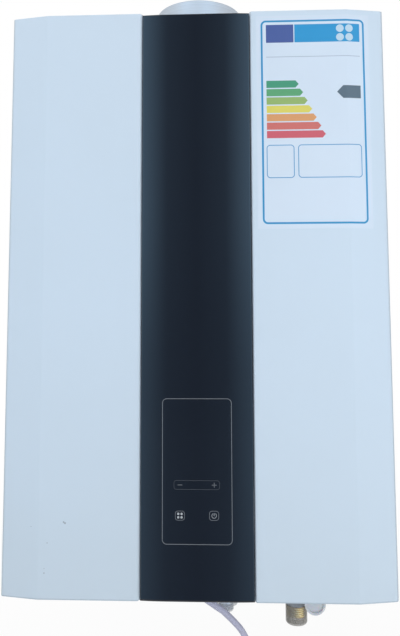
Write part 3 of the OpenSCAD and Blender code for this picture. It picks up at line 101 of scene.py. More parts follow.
def smooth_line(points, per_span):
    """Cubic through given points: each span is a Hermite arc whose end slopes come from the neighbours'
    places and the distances between them, sampled at even steps."""
    knots = np.concatenate([[0.0], np.cumsum(np.linalg.norm(np.diff(points, axis=0), axis=1))])
    slopes = np.gradient(points, knots, axis=0)
    span = np.diff(knots)[:, None, None]
    t = np.arange(per_span)[None, :, None] / per_span
    a, b = points[:-1, None], points[1:, None]
    arcs = (
        (2 * t**3 - 3 * t**2 + 1) * a
        + (t**3 - 2 * t**2 + t) * span * slopes[:-1, None]
        + (3 * t**2 - 2 * t**3) * b
        + (t**3 - t**2) * span * slopes[1:, None]
    )
    return np.concatenate([arcs.reshape(-1, 3), points[-1:]])


def coil_line(steps):
    """Flat spiral that winds in and out again: the radius falls and rises evenly with the turn, and the
    line climbs one layer along a smooth step in the turn where it reverses."""
    t = np.linspace(0, coil_turns, steps * coil_turns + 1)
    radius = coil_inner + coil_pitch * np.abs(t - coil_turns / 2)
    rise = np.clip(t - coil_turns / 2 + 0.5, 0, 1)
    layer = coil_pitch * (rise**2 * (3 - 2 * rise) - 0.5)
    angle = 2 * np.pi * t
    return coil_middle + np.stack([radius * np.cos(angle), layer, -radius * np.sin(angle)], axis=1)


def grid_faces(rows, columns, closed):
    """Quads between neighbouring points of a grid, also from its last column to its first where closed."""
    i, k = np.meshgrid(np.arange(rows - 1), np.arange(columns - (not closed)), indexing="ij")
    here, there = i * columns + k, i * columns + (k + 1) % columns
    return np.stack([here, there, there + columns, here + columns], axis=-1).reshape(-1, 4).tolist()


def add_piece(name, points, faces, smooth):
    """Mesh object at the origin from points and faces, each face smooth or flat."""
    mesh = bpy.data.meshes.new(name)
    mesh.from_pydata(points.reshape(-1, 3).tolist(), [], faces)
    mesh.polygons.foreach_set("use_smooth", smooth)
    piece = bpy.data.objects.new(name, mesh)
    scene.collection.objects.link(piece)
    return piece


def swept_tube(name, line, radius, sides):
    """Circle carried along a line: at each point two directions square to the line, worked out against the
    depth axis, span the ring. The ends are closed with flat caps."""
    heading = np.gradient(line, axis=0)
    heading /= np.linalg.norm(heading, axis=1)[:, None]
    across = np.cross([0.0, 1.0, 0.0], heading)
    across /= np.linalg.norm(across, axis=1)[:, None]
    beside = np.cross(heading, across)
    turns = 2 * np.pi * np.arange(sides) / sides
    ring_across = np.cos(turns)[None, :, None] * across[:, None]
    ring_beside = np.sin(turns)[None, :, None] * beside[:, None]
    rings = line[:, None] + radius * (ring_across + ring_beside)
    walls = grid_faces(len(line), sides, closed=True)
    last_ring = (len(line) - 1) * sides
    ends = [list(range(sides))[::-1], list(range(last_ring, last_ring + sides))]
    return add_piece(name, rings, walls + ends, [True] * len(walls) + [False, False])


coil = coil_line(steps=60)
lead_points = np.concatenate(
    [
        [relief_end, relief_end + straight_out * relief_heading],
        [
            [10, -100, -21.4],
            [16.5, -100, -25.6],
            [22, -99.6, -29.2],
            [27, -99, -33.7],
            [34, -97, -41.3],
            [39.2, -95, -47.8],
            [43, -92.6, -54.6],
            [46.8, -88.8, -64],
            [50.6, -83.5, -76],
            [54, -76.5, -89],
            [56.6, -68.5, -102.5],
            [57.7, -61.5, -116],
        ],
        coil[:1] + [0, 0, 1000 * lead_d],
    ]
)
tail = coil[-1] + np.linspace([0, 0, 0], [0, 0, -coil_tail], 9)[1:]
lead_line = np.concatenate([smooth_line(lead_points, per_span=8), coil, tail]) / 1000
lead = swept_tube("mains_lead", lead_line, lead_d / 2, sides=16)
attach(lead, "casing")
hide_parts("cord_lead", "cord_coil")


class Wire:
    """One output of a shader node. Arithmetic on it adds Math nodes, so a mask reads as a formula."""

    def __init__(self, tree, socket=None):
        self.tree, self.socket = tree, socket

    def node(self, kind, settings, sockets, output=0):
        """A node of that type: first its settings, then its sockets' values or links; gives one output."""
        made = self.tree.nodes.new("ShaderNode" + kind)
        for key, value in settings.items():
            setattr(made, key, value)
        for key, value in sockets.items():
            if isinstance(value, Wire):
                self.tree.links.new(value.socket, made.inputs[key])
            else:
                made.inputs[key].default_value = value
        return Wire(self.tree, made.outputs[output])

    def math(self, operation, *values):
        """A Math node on numbers and wires."""
        return self.node("Math", {"operation": operation}, dict(enumerate(values)))

    def __add__(self, other):
        return self.math("ADD", self, other)

    def __sub__(self, other):
        return self.math("SUBTRACT", self, other)

    def __rsub__(self, other):
        return self.math("SUBTRACT", other, self)

    def __mul__(self, other):
        return self.math("MULTIPLY", self, other)

    def __lt__(self, other):
        return self.math("LESS_THAN", self, other)

    def __abs__(self):
        return self.math("ABSOLUTE", self)

    def __or__(self, other):
        return self.math("MAXIMUM", self, other)

    def __and__(self, other):
        return self.math("MINIMUM", self, other)

    __radd__, __rmul__ = __add__, __mul__

    def wave(self, step):
        """Sine of a length in millimetres, from -1 to 1, which repeats after each step."""
        return self.math("SINE", self * (2 * math.pi / step))

    def ramp(self, low, high):
        """0 below low, 1 above high, and a smooth step between them."""
        return self.node("MapRange", {"interpolation_type": "SMOOTHSTEP"}, {0: self, 1: low, 2: high})

    def mix(self, low, high):
        """Colour low where this is 0, colour high where it is 1."""
        return self.node("Mix", {"data_type": "RGBA"}, {0: self, 6: low, 7: high}, output=2)

    def axis(self, number):
        """One coordinate of a place, in millimetres."""
        return 1000 * self.node("SeparateXYZ", {}, {0: self}, output=number)

    def grain(self, scale, detail=2.0):
        """Soft noise from 0 to 1 over a place, with so many cells to the metre."""
        return self.node("TexNoise", {}, {"Vector": self, "Scale": scale, "Detail": detail})

    def stretched(self, x, y, z):
        """A place with its axes scaled apart, for streaks."""
        return self.node("VectorMath", {"operation": "MULTIPLY"}, {0: self, 1: (x, y, z)})


def seen(red, green, blue):
    """A colour as the eye reads it, 0 to 255, turned into linear light with full alpha."""
    level = np.array([red, green, blue]) / 255
    linear = np.where(level > 0.04045, ((level + 0.055) / 1.055) ** 2.4, level / 12.92)
    return (*linear.tolist(), 1.0)


class Finish:
    """A material with one Principled shader. Constants sit on its own sockets, and patterns are fed in."""

    def __init__(self, name, **constants):
        self.material = bpy.data.materials.new(name)
        self.material.use_nodes = True
        self.tree = self.material.node_tree
        self.shader = self.tree.nodes["Principled BSDF"]
        for key, value in constants.items():
            self.shader.inputs[key.replace("_", " ").title().replace("Ior", "IOR")].default_value = value
        self.place = Wire(self.tree).node("TexCoord", {}, {}, output="Object")

    def feed(self, socket, wire):
        """Links a wire to one of the shader's sockets."""
        self.tree.links.new(wire.socket, self.shader.inputs[socket])
        return self

    def between(self, mask, low, high, rough):
        """Colour from low to high, and roughness from rough's first to its last value, by a mask."""
        self.feed("Base Color", mask.mix(low, high))
        return self.feed("Roughness", rough[0] + (rough[1] - rough[0]) * mask)

    def bump(self, height, strength, depth):
        """Relief from a height that runs from 0 to 1, so many metres deep."""
        sockets = {"Height": height, "Strength": strength, "Distance": depth}
        return self.feed("Normal", height.node("Bump", {}, sockets))

    def on(self, *pieces):
        """Puts the finish on pieces, or on solids by name."""
        for piece in pieces:
            coat = (nodes[piece] if isinstance(piece, str) else piece).data.materials
            coat.clear()
            coat.append(self.material)
        return self


vinyl = Finish("lavender_vinyl", specular_ior_level=0.25)
vinyl.between(vinyl.place.grain(60), seen(182, 182, 204), seen(194, 194, 214), (0.5, 0.42))
vinyl.bump(vinyl.place.grain(2600), strength=0.06, depth=0.0002)
vinyl.on(lead)

# Strain relief, plug, pins and strap of the lead. Relief and plug are moulded onto the vinyl in the same
# colour; the pins are nickel-plated brass, and the strap is a black woven hook-and-loop band.
vinyl.on("cord_relief", "plug_body")
pin_metal = Finish("plated_pin", metallic=1.0)
drawn = pin_metal.place.stretched(1, 1, 0.1).grain(900)
pin_metal.between(drawn, seen(196, 192, 180), seen(214, 210, 198), (0.18, 0.3))
pin_metal.on("plug_pins")
strap = Finish("woven_strap", specular_ior_level=0.2)
weave_step = 1.1
weave = 0.5 + 0.5 * strap.place.axis(0).wave(weave_step) * strap.place.axis(2).wave(weave_step)
strap.between(weave, seen(22, 22, 25), seen(46, 46, 50), (0.9, 0.75))
strap.bump(weave, strength=0.5, depth=0.0003).on("cord_tie")

# Chassis: back, top and bottom panels, and the brackets that carry the exchanger. Hot-dip galvanised sheet,
# cut, folded and riveted. The zinc shows as broad crystals of two greys.
zinc = Finish("galvanised_sheet", metallic=0.85)
crystals_per_metre = 130.0
crystal_sockets = {"Vector": zinc.place, "Scale": crystals_per_metre}
crystals = zinc.place.node("TexVoronoi", {}, crystal_sockets, output="Color")
spangle = crystals.node("SeparateColor", {}, {0: crystals})
zinc.between(spangle, seen(172, 177, 182), seen(196, 200, 204), (0.36, 0.46))
zinc.on("back_panel", "top_panel", "bottom_panel", "support_brackets")

# Heat exchanger and water pipes. Copper sheet, fins and drawn tube, brazed together; flame and flux leave
# a brown bloom that is strongest low on the shell, next to the burner.
copper = Finish("brazed_copper", metallic=0.9)
flame_low, flame_high = (1000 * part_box("exchanger_shell")[end][2] for end in (0, 1))
heat_share, bloom_from, bloom_to = 0.35, 0.4, 0.9
heat = 1 - copper.place.axis(2).ramp(flame_low, flame_high)
bloom = (copper.place.grain(30, detail=4.0) + heat_share * heat).ramp(bloom_from, bloom_to)
copper.between(bloom, seen(210, 138, 102), seen(136, 78, 56), (0.26, 0.5))
copper.on("exchanger_shell", "exchanger_fins", "exchanger_tubes", "cold_pipe", "hot_pipe")
limit_disc = Finish("limit_switch_metal", metallic=0.8)
limit_disc.between(limit_disc.place.grain(200), seen(150, 148, 142), seen(180, 178, 172), (0.35, 0.5))
limit_disc.on("overheat_switch")

# Burner, fan and flue hood. Bright cold-rolled sheet steel, pressed, folded and riveted, with the fine
# lengthwise grain that rolling leaves. The spark electrodes are glazed ceramic.
steel = Finish("rolled_steel", metallic=0.9)
rolled = steel.place.stretched(4, 4, 300).grain(1.0, detail=3.0)
steel.between(rolled, seen(176, 178, 180), seen(202, 204, 206), (0.4, 0.26))
steel.on("burner_tray", "burner_bars", "flue_hood", "exhaust_spigot")
steel.on("fan_scroll", "fan_plate", "fan_impeller")
ceramic = Finish("glazed_ceramic", coat_weight=0.5)
ceramic.between(ceramic.place.grain(120), seen(222, 218, 206), seen(236, 233, 224), (0.34, 0.24))
ceramic.on("ignition_electrodes")

# Gas valve, manifold and fan motor. Pressure die-cast aluminium with a fine pebbled skin; the valve's coils
# are wound in enamelled wire and lacquered.
cast = Finish("die_cast_aluminium", metallic=0.8)
cast_skin = cast.place.grain(1200, detail=3.0)
cast.between(cast_skin, seen(172, 175, 180), seen(198, 200, 204), (0.55, 0.42))
cast.bump(cast_skin, strength=0.2, depth=0.0003)
cast.on("gas_manifold", "gas_valve", "fan_motor")
lacquer = Finish("coil_lacquer", coat_weight=0.4)
windings = lacquer.place.stretched(900, 1, 1).grain(1.0)
lacquer.between(windings, seen(44, 56, 92), seen(66, 80, 120), (0.4, 0.25))
lacquer.on("gas_solenoids")

# Gas jets and pipe fittings. The jets are turned brass. The water fittings are hot-pressed brass, nickel
# plated, and the pipe thread below their flange is cut after plating and left bare. The gas union is
# zinc plated.
jet_brass = Finish("turned_brass", metallic=0.9)
jet_skin = jet_brass.place.grain(70, detail=3.0)
jet_brass.between(jet_skin, seen(184, 146, 82), seen(218, 188, 120), (0.38, 0.24))
jet_brass.on("gas_jets")
fitting = Finish("plated_fitting")
pipe_pitch, thread_depth = 1.814, 0.0005
bare_below_cold, bare_below_hot = -31.0, -1.0
plated_metal, bare_metal = 0.15, 0.5
fitting_x, fitting_z = fitting.place.axis(0), fitting.place.axis(2)
ridges = 0.5 + 0.5 * fitting_z.wave(pipe_pitch)
bare = (fitting_z < bare_below_cold) | ((fitting_x < 0.0) & (fitting_z < bare_below_hot))
shine = fitting.place.grain(70, detail=3.0)
crest_tone = shine.mix(seen(255, 240, 180), seen(255, 248, 206))
# Painted shade in the thread's grooves: the brass colour is darker between the crests than on them.
groove_shaded_brass = ridges.ramp(0.0, 0.5).mix(seen(214, 164, 90), crest_tone)
nickel_tone = shine.mix(seen(128, 132, 136), seen(148, 152, 156))
fitting.feed("Base Color", bare.mix(nickel_tone, groove_shaded_brass)).feed("Roughness", 0.34 - 0.12 * shine)
fitting.feed("Metallic", plated_metal + (bare_metal - plated_metal) * bare)
fitting.bump(ridges * bare, strength=1.0, depth=thread_depth).on("water_inlet", "hot_outlet")
union = Finish("plated_union", metallic=0.5)
union.between(union.place.grain(70, detail=3.0), seen(206, 210, 216), seen(226, 230, 236), (0.36, 0.24))
union.on("gas_inlet")

# Small mouldings inside: flow meter, igniter, air pressure switch, control box, and the boards. Glass-filled
# nylon in black or ivory, with a fine spark-eroded skin; the boards are green glass fibre.
black_nylon = Finish("black_nylon")
black_skin = black_nylon.place.grain(1800)
black_nylon.between(black_skin, seen(36, 37, 40), seen(52, 53, 56), (0.62, 0.48))
black_nylon.bump(black_skin, strength=0.12, depth=0.0002)
black_nylon.on("touch_housing", "flow_sensor", "spark_igniter", "pressure_switch")
ivory_nylon = Finish("ivory_nylon")
ivory_skin = ivory_nylon.place.grain(1600)
ivory_nylon.between(ivory_skin, seen(218, 217, 208), seen(230, 229, 221), (0.56, 0.44))
ivory_nylon.bump(ivory_skin, strength=0.1, depth=0.0002)
ivory_nylon.on("control_box", "control_lid", "flow_rotor")
fibre = Finish("circuit_board", coat_weight=0.3)
track_step_x, track_step_z = 2.0268, 3.696
tracks = fibre.place.axis(0).wave(track_step_x) | fibre.place.axis(2).wave(track_step_z)
fibre.between(tracks.ramp(0.9, 0.95), seen(24, 92, 58), seen(66, 132, 88), (0.42, 0.3))
fibre.on("touch_board", "control_board")
soft_tube = Finish("silicone_tube")
soft_tube.between(soft_tube.place.grain(150), seen(142, 146, 152), seen(160, 164, 170), (0.5, 0.42))
soft_tube.on("pressure_hose")

# Flue connection on the top panel. The collar is spun from aluminium sheet and set in a flange, with a red
# silicone gasket below and plated screws; the turning leaves fine rings round the collar.
spun = Finish("spun_aluminium", metallic=0.15)
rings = spun.place.stretched(6, 6, 1400).grain(1.0, detail=4.0)
collar_top, rim_band, rim_dulls = 1000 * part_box("flue_collar")[1][2], 1.4, 0.75
rim = spun.place.axis(2).ramp(collar_top - rim_band, collar_top)
sheen = rings * (1 - rim_dulls * rim)
spun.between(sheen, seen(179, 191, 204), seen(224, 232, 240), (0.48, 0.34))
spun.bump(rings, strength=0.15, depth=0.0002).on("flue_collar", "flue_flange")
silicone = Finish("red_silicone")
silicone.between(silicone.place.grain(140), seen(140, 58, 48), seen(158, 72, 60), (0.66, 0.55))
silicone.on("flue_gasket")
zinc_plate = Finish("zinc_plated_screw", metallic=1.0)
zinc_plate.between(zinc_plate.place.grain(500), seen(178, 180, 186), seen(202, 204, 208), (0.34, 0.22))
zinc_plate.on("flue_screws", "cover_screws")

# White cover. One steel sheet with slanted side margins and a round-lipped channel for the glass, folded,
# welded at its corners and powder coated in a cool white; two screws hold it at each side, over foam seals.
# Its colour carries painted shade, darker towards the bottom and along its outer side bends and foot, and it
# has a few chips at the lower left.
cover = nodes["front_cover"]
cover_low, cover_high = (np.array(end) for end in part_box("front_cover"))
margin_w, margin_drop = 0.036, 0.0065
bend_w, bend_steps, bend_from = 0.0009, 3, math.radians(50)
sheet_bend = cover.modifiers.new("sheet_bend", "BEVEL")
sheet_bend.width, sheet_bend.segments, sheet_bend.limit_method = bend_w, bend_steps, "ANGLE"
sheet_bend.angle_limit, sheet_bend.harden_normals = bend_from, True


def disc(x, z, middle, radius):
    """Distance to a circle: negative inside, positive outside."""
    right, up = x - middle[0], z - middle[1]
    return x.math("SQRT", right * right + up * up) - radius


def filled(distance):
    """1 inside an outline, 0 outside, fading over a tenth of a millimetre."""
    return 1 - distance.ramp(-0.05, 0.05)


coat = Finish("cool_white_coat", specular_ior_level=0.35)
coat_x, coat_y, coat_z = (coat.place.axis(number) for number in range(3))
# Painted shade: besides a random grain, the coat's colour grows darker towards the bottom, standing in for
# light from above.
shade_low, shade_high, shade_share = -80.0, 260.0, 0.6
grain_and_shade = (1 - shade_share) * coat.place.grain(7) + shade_share * coat_z.ramp(shade_low, shade_high)
shaded_tone = grain_and_shade.mix(seen(199, 213, 224), seen(208, 224, 239))
# Each chip has its place right of the middle and above the foot, and its radius.
chips = (
    (-121.0, 67.8, 0.8),
    (-119.7, 66.9, 0.9),
    (-135.8, 49.4, 0.5),
    (-151.2, 63.3, 0.4),
    (-138.2, 27.0, 0.4),
    (-138.2, 23.1, 0.6),
)
chipped = [filled(disc(coat_x, coat_z, (x, z), radius)) for x, z, radius in chips]
worn = chipped[0]
for chip in chipped[1:]:
    worn = worn | chip
bend_side, bend_back = 1000 * cover_high[0], 1000 * (cover_low[1] + margin_drop)
# Painted shade along the outer side bends and the foot of the front, where rounded edges would turn from the
# light.
chip_wear, side_shade_weight, foot_shade_weight = 0.5, 0.5, 0.3
side_band, foot_band, front_band = (2.0, 0.3), (0.3, 1.6), (0.5, 2.0)
side_edge_shade = side_shade_weight * abs(coat_x).ramp(bend_side - side_band[0], bend_side - side_band[1])
foot_edge_shade = foot_shade_weight * (1 - coat_z.ramp(*foot_band))
in_front = 1 - coat_y.ramp(bend_back + front_band[0], bend_back + front_band[1])
painted_edge_shade = (side_edge_shade | foot_edge_shade) * in_front
# The dark colour serves both the real chips and this painted edge shade.
coat.feed("Base Color", (chip_wear * worn | painted_edge_shade).mix(shaded_tone, seen(88, 100, 112)))
coat.feed("Roughness", 0.46 - 0.06 * grain_and_shade)
coat.bump(coat.place.grain(800), strength=0.04, depth=0.0002).on("front_cover")


def add_sheet(name, grid, thickness):
    """Smooth sheet with its thickness behind it. Its outer edges, which only one quad uses, stay crisp."""
    faces = grid_faces(*grid.shape[:2], closed=False)
    sheet = add_piece(name, grid, faces, [True] * len(faces))
    edge_of = np.empty(len(sheet.data.loops), int)
    sheet.data.loops.foreach_get("edge_index", edge_of)
    sheet.data.edges.foreach_set("use_edge_sharp", np.bincount(edge_of) == 1)
    wall = sheet.modifiers.new("sheet_thickness", "SOLIDIFY")
    wall.thickness, wall.offset = thickness, -1.0
    return sheet


lip_starts, lip_ends, lip_falls, lip_t = 0.0540, 0.0514, 0.0026, 0.0008
lip_lift, lip_trim, strip_shift = 0.00005, 0.0005, 0.0004


def rounded_lip(side, steps):
    """Quarter of an ellipse carried straight up: it leaves the front face level and turns back beside the
    glass. The points run from left to right on either side, so that both lips face forwards."""
    turned = np.linspace(0, np.pi / 2, steps)[::-side]
    grid = np.empty((2, steps, 3))
    grid[..., 0] = side * lip_starts + (strip_shift - side * (lip_starts - lip_ends)) * np.sin(turned)
    grid[..., 1] = cover_low[1] - lip_lift + lip_falls * (1 - np.cos(turned))
    grid[..., 2] = [[cover_low[2] + lip_trim], [cover_high[2] - lip_trim]]
    return grid


for name, side in (("left_lip", -1), ("right_lip", 1)):
    lip = add_sheet(name, rounded_lip(side, steps=13), lip_t)
    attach(lip, "casing")
    coat.on(lip)
foam = Finish("black_foam", specular_ior_level=0.2)
cells = foam.place.grain(3200)
foam.between(cells, seen(24, 24, 26), seen(46, 46, 48), (0.95, 0.8))
foam.bump(cells, strength=0.5, depth=0.0004).on("cover_seals", "panel_tape", "drain_seal")

# Glass strip. Bent float glass over the whole height, painted black behind and bonded into the channel with
# foam tape. Its long edges curve back and are ground to a small arris; the touch keys are printed in grey.
glass_low, glass_high = (np.array(end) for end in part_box("glass_panel"))
glass_gap, foot_set, top_set = 0.0002, 0.0004, 0.0010
glass_half = lip_ends - glass_gap
glass_t, glass_margin, glass_fall, arris = 0.003, 0.024, 0.0011, 0.0006
glass_foot, glass_top = glass_low[2] - foot_set, glass_high[2] - top_set


def with_arris(half, count, arris_n=6):
    """Even steps that stop four arrises short of both edges, one step three arrises from each edge and finer
    ones along the arris itself, and how far a quarter circle draws the surface in at each of them."""
    fine = arris * np.append(3, 1 - np.sin(np.linspace(0, np.pi / 2, arris_n)))
    inner = np.linspace(-1, 1, count)[1:-1] * (half - 4 * arris)
    steps = np.concatenate([(fine - half)[::-1], inner, half - fine])
    over = np.clip(np.abs(steps) - (half - arris), 0, arris) / arris
    return steps, arris * (1 - np.sqrt(1 - over**2))


def bent_glass(across_n, up_n):
    """Slab round a bent sheet: going round the section, the front falls back along a parabola near its long
    edges, and the rear lies one thickness behind it. At all edges both draw together along the arris. The
    second parameter runs up the strip."""
    x, edge_ease = with_arris(glass_half, across_n)
    z, end_ease = with_arris((glass_top - glass_foot) / 2, up_n)
    past = np.clip(np.abs(x) - (glass_half - glass_margin), 0, None) / glass_margin
    front = glass_low[1] + glass_fall * past**2
    ease = edge_ease[None, :] + end_ease[:, None]
    grid = np.empty((len(z), 2 * len(x), 3))
    grid[..., 0] = strip_shift + np.concatenate([x, x[::-1]])
    grid[..., 1] = np.concatenate([front + ease, (front + glass_t - ease)[:, ::-1]], axis=1)
    grid[..., 2] = (z + (glass_top + glass_foot) / 2)[:, None]
    return grid


glass_grid = bent_glass(across_n=121, up_n=12)
glass_rows, glass_round = glass_grid.shape[:2]
glass_walls = grid_faces(glass_rows, glass_round, closed=True)
pair = np.arange(glass_round // 2 - 1)
foot_end = np.stack([pair, glass_round - 1 - pair, glass_round - 2 - pair, pair + 1], axis=1)
top_end = foot_end[:, ::-1] + (glass_rows - 1) * glass_round
glass_ends = foot_end.tolist() + top_end.tolist()
glass_smooth = [True] * len(glass_walls) + [False] * len(glass_ends)
glass = add_piece("bent_glass", glass_grid, glass_walls + glass_ends, glass_smooth)
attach(glass, "casing")
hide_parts("glass_panel")


def rounded_box(x, z, middle, size, radius):
    """Distance to the outline of a rectangle with rounded corners: negative inside, positive outside."""
    over_x = abs(x - middle[0]) - (size[0] / 2 - radius)
    over_z = abs(z - middle[1]) - (size[1] / 2 - radius)
    out_x, out_z = over_x | 0.0, over_z | 0.0
    corner = x.math("SQRT", out_x * out_x + out_z * out_z)
    return corner + ((over_x | over_z) & 0.0) - radius


def stroke(distance, width):
    """1 on a line of that width along an outline."""
    return filled(abs(distance) - width / 2)


pane = Finish("black_backed_glass", roughness=0.02, ior=1.5)
pane_x, pane_z = pane.place.axis(0), pane.place.axis(2)


def key_box(middle, size, radius):
    """Distance to a rounded rectangle on the glass, placed from its middle and above the foot."""
    return rounded_box(pane_x, pane_z, middle, size, radius)


window_at, window_size, window_corner, window_line = (0.5, 114.5), (62.7, 128.2), 4.0, 0.55
pill_at, pill_size, pill_corner, pill_line = (0.2, 102.1), (41.1, 7.8), 2.2, 0.4
less_at, more_at, menu_at, power_at = (-15.0, 102.1), (16.0, 102.1), (-15.0, 75.3), (15.7, 75.4)
dash, dash_t, dash_corner = 4.4, 0.7, 0.3
key_size, key_corner, key_line = (8.3, 8.0), 2.4, 0.45
dot_off, dot_r = (1.5, 1.5), 1.05
ring_r, ring_line = 2.1, 0.5
stem_at, stem_size, stem_corner = (power_at[0], power_at[1] + 1.1), (0.6, 2.6), 0.3
gap_at, gap_size, gap_corner = (power_at[0], power_at[1] + 1.9), (1.7, 2.2), 0.2
window = stroke(key_box(window_at, window_size, window_corner), window_line)
pill = stroke(key_box(pill_at, pill_size, pill_corner), pill_line)
minus = filled(key_box(less_at, (dash, dash_t), dash_corner))
plus = filled(key_box(more_at, (dash, dash_t), dash_corner) & key_box(more_at, (dash_t, dash), dash_corner))
keys = stroke(key_box(menu_at, key_size, key_corner) & key_box(power_at, key_size, key_corner), key_line)
dots = filled(disc(abs(pane_x - menu_at[0]), abs(pane_z - menu_at[1]), dot_off, dot_r))
power_ring = stroke(disc(pane_x, pane_z, power_at, ring_r), ring_line)
power_ring = (power_ring - filled(key_box(gap_at, gap_size, gap_corner))) | 0.0
power_mark = filled(key_box(stem_at, stem_size, stem_corner)) | power_ring
printed = 0.3 * window | 0.1 * pill | 0.2 * (minus | plus) | 0.26 * keys | 0.7 * dots | 0.5 * power_mark
pane.feed("Base Color", printed.mix(seen(20, 24, 32), seen(206, 212, 218)))
pane.on(glass)

# Paper label. A gloss-coated sticker pressed onto the right of the front and over the slanted margin's
# fold: blue border, two head blocks, pointed colour bars, an arrow and two boxes, all of them blank.
paper_w, paper_h, paper_t, paper_lift = 0.1078, 0.2058, 0.0001, 0.00012
paper_left, paper_foot = 0.0580, 0.3341
fold_r = 0.014
margin_angle = math.atan2(margin_drop, margin_w)


def wrapped_paper(across_n, up_n):
    """Flat sheet rolled over a fold: its slope is zero on the front, grows evenly along the bend's arc and
    stays at the margin's angle beyond it, and the section is that slope added up step by step. Gives the
    places, and the flat sheet's own measures in metres."""
    along = np.linspace(0, paper_w, across_n)
    bend_starts = cover_high[0] - margin_w - fold_r * math.tan(margin_angle / 2) - paper_left
    slope = np.clip((along - bend_starts) / fold_r, 0, margin_angle)
    halfway = (slope[1:] + slope[:-1]) / 2
    step = paper_w / (across_n - 1)
    up = np.linspace(0, paper_h, up_n)
    grid = np.empty((up_n, across_n, 3))
    grid[..., 0] = paper_left + step * np.concatenate([[0], np.cumsum(np.cos(halfway))])
    grid[..., 1] = cover_low[1] - paper_lift + step * np.concatenate([[0], np.cumsum(np.sin(halfway))])
    grid[..., 2] = (paper_foot + up)[:, None]
    return grid, np.stack(np.broadcast_arrays(along, up[:, None]), axis=-1)


paper_grid, paper_flat = wrapped_paper(across_n=106, up_n=11)
paper = add_sheet("paper_label", paper_grid, paper_t)
flat_map = paper.data.uv_layers.new(name="flat")
corner_of = np.empty(len(paper.data.loops), int)
paper.data.loops.foreach_get("vertex_index", corner_of)
flat_map.data.foreach_set("uv", paper_flat.reshape(-1, 2)[corner_of].ravel())
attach(paper, "casing")

label = Finish("coated_label_paper", roughness=0.42, coat_weight=0.1)
flat = label.place.node("UVMap", {"uv_map": "flat"}, {})
border_edge, border_size, border_corner, border_line = 5.4, (97.0, 195.0), 4.0, 1.8
border_middle = (border_size[0] / 2, border_size[1] / 2)
across = flat.axis(0) - border_edge
down = border_edge + border_size[1] - flat.axis(1)


def block(left, right, top, foot, radius=0.3):
    """1 inside a rectangle, measured from the border's left and top."""
    middle, size = ((left + right) / 2, (top + foot) / 2), (right - left, foot - top)
    return filled(rounded_box(across, down, middle, size, radius))


def pointed(middle, tall, reach, tip, end):
    """1 inside a bar with a pointed end: reach is the coordinate that the point's slant has been added to,
    tip is where it stops, and end is 1 on the near side of the square end."""
    return filled(abs(down - middle) - tall / 2) * filled(reach - tip) * end


ink = label.place.grain(30).mix(seen(213, 226, 240), seen(209, 222, 236))
border = stroke(rounded_box(across, down, border_middle, border_size, border_corner), border_line)
ink = border.mix(ink, seen(34, 140, 192))
print_left, print_right, head_top, head_foot, head_split = 4.1, 93.3, 3.5, 21.2, (30.3, 31.2)
ink = block(print_left, head_split[0], head_top, head_foot).mix(ink, seen(68, 86, 146))
ink = block(head_split[1], print_right, head_top, head_foot).mix(ink, seen(38, 146, 200))
discs_at, disc_off, disc_r = (78.8, 12.4), (4.4, 4.3), 3.7
head_discs = filled(disc(abs(across - discs_at[0]), abs(down - discs_at[1]), disc_off, disc_r))
ink = head_discs.mix(ink, seen(190, 214, 230))
rule_top, rule_foot = 35.0, 35.5
ink = block(print_left, print_right, rule_top, rule_foot, radius=0.1).mix(ink, seen(150, 165, 185))
bar_left, bar_top, bar_step, bar_h, bar_slant = 4.0, 58.5, 8.12, 7.0, 0.85
bar_shortest, bar_grows = 34.5, 4.12
bar_shades = (
    (66, 146, 110),
    (90, 158, 106),
    (147, 176, 100),
    (219, 208, 92),
    (217, 154, 98),
    (205, 108, 98),
    (204, 90, 100),
)
for row, shade in enumerate(bar_shades):
    middle = bar_top + bar_h / 2 + row * bar_step
    reach = across + bar_slant * abs(down - middle)
    bar = pointed(middle, bar_h, reach, bar_shortest + row * bar_grows, filled(bar_left - across))
    ink = bar.mix(ink, seen(*shade))
arrow_middle, arrow_h, arrow_tip, arrow_slant = 70.2, 12.4, 70.5, 0.94
arrow_reach = arrow_slant * abs(down - arrow_middle) - across
arrow = pointed(arrow_middle, arrow_h, arrow_reach, -arrow_tip, filled(across - print_right))
ink = arrow.mix(ink, seen(86, 100, 110))
box_corner, box_line = 3.0, 0.8
small_box, wide_box = ((16.5, 136.5), (25.3, 31.0)), ((63.0, 136.5), (59.3, 31.0))
for box_middle, box_size in (small_box, wide_box):
    box = stroke(rounded_box(across, down, box_middle, box_size, box_corner), box_line)
    ink = box.mix(ink, seen(80, 150, 198))
label.feed("Base Color", ink).on(paper)

# Caps on the pipe stubs, and the drain knob. The caps are thin soft polyethylene, pushed on, clear over gas
# and hot water and smoky over cold water. The smoky one is more opaque towards its thicker moulded end, and
# at its left and right sides as painted shade, so the brass shows through only right of its middle, where
# the light catches it. The knob is a thicker clouded moulding.
grey_cap = Finish("smoky_polyethylene")
grey_cap.between(grey_cap.place.grain(160), seen(150, 146, 138), seen(160, 156, 148), (0.34, 0.24))
thin_film, end_and_shade_film = 0.02, 0.5
end_film, left_shade_span, right_shade_span = (6.5, 8.5), (5.0, 14.0), (6.0, 2.5)
cap_low, cap_high = (1000 * np.array(end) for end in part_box("cold_cap"))
cap_x, cap_z = grey_cap.place.axis(0), grey_cap.place.axis(2)
towards_end = 1 - cap_z.ramp(cap_low[2] + end_film[0], cap_low[2] + end_film[1])
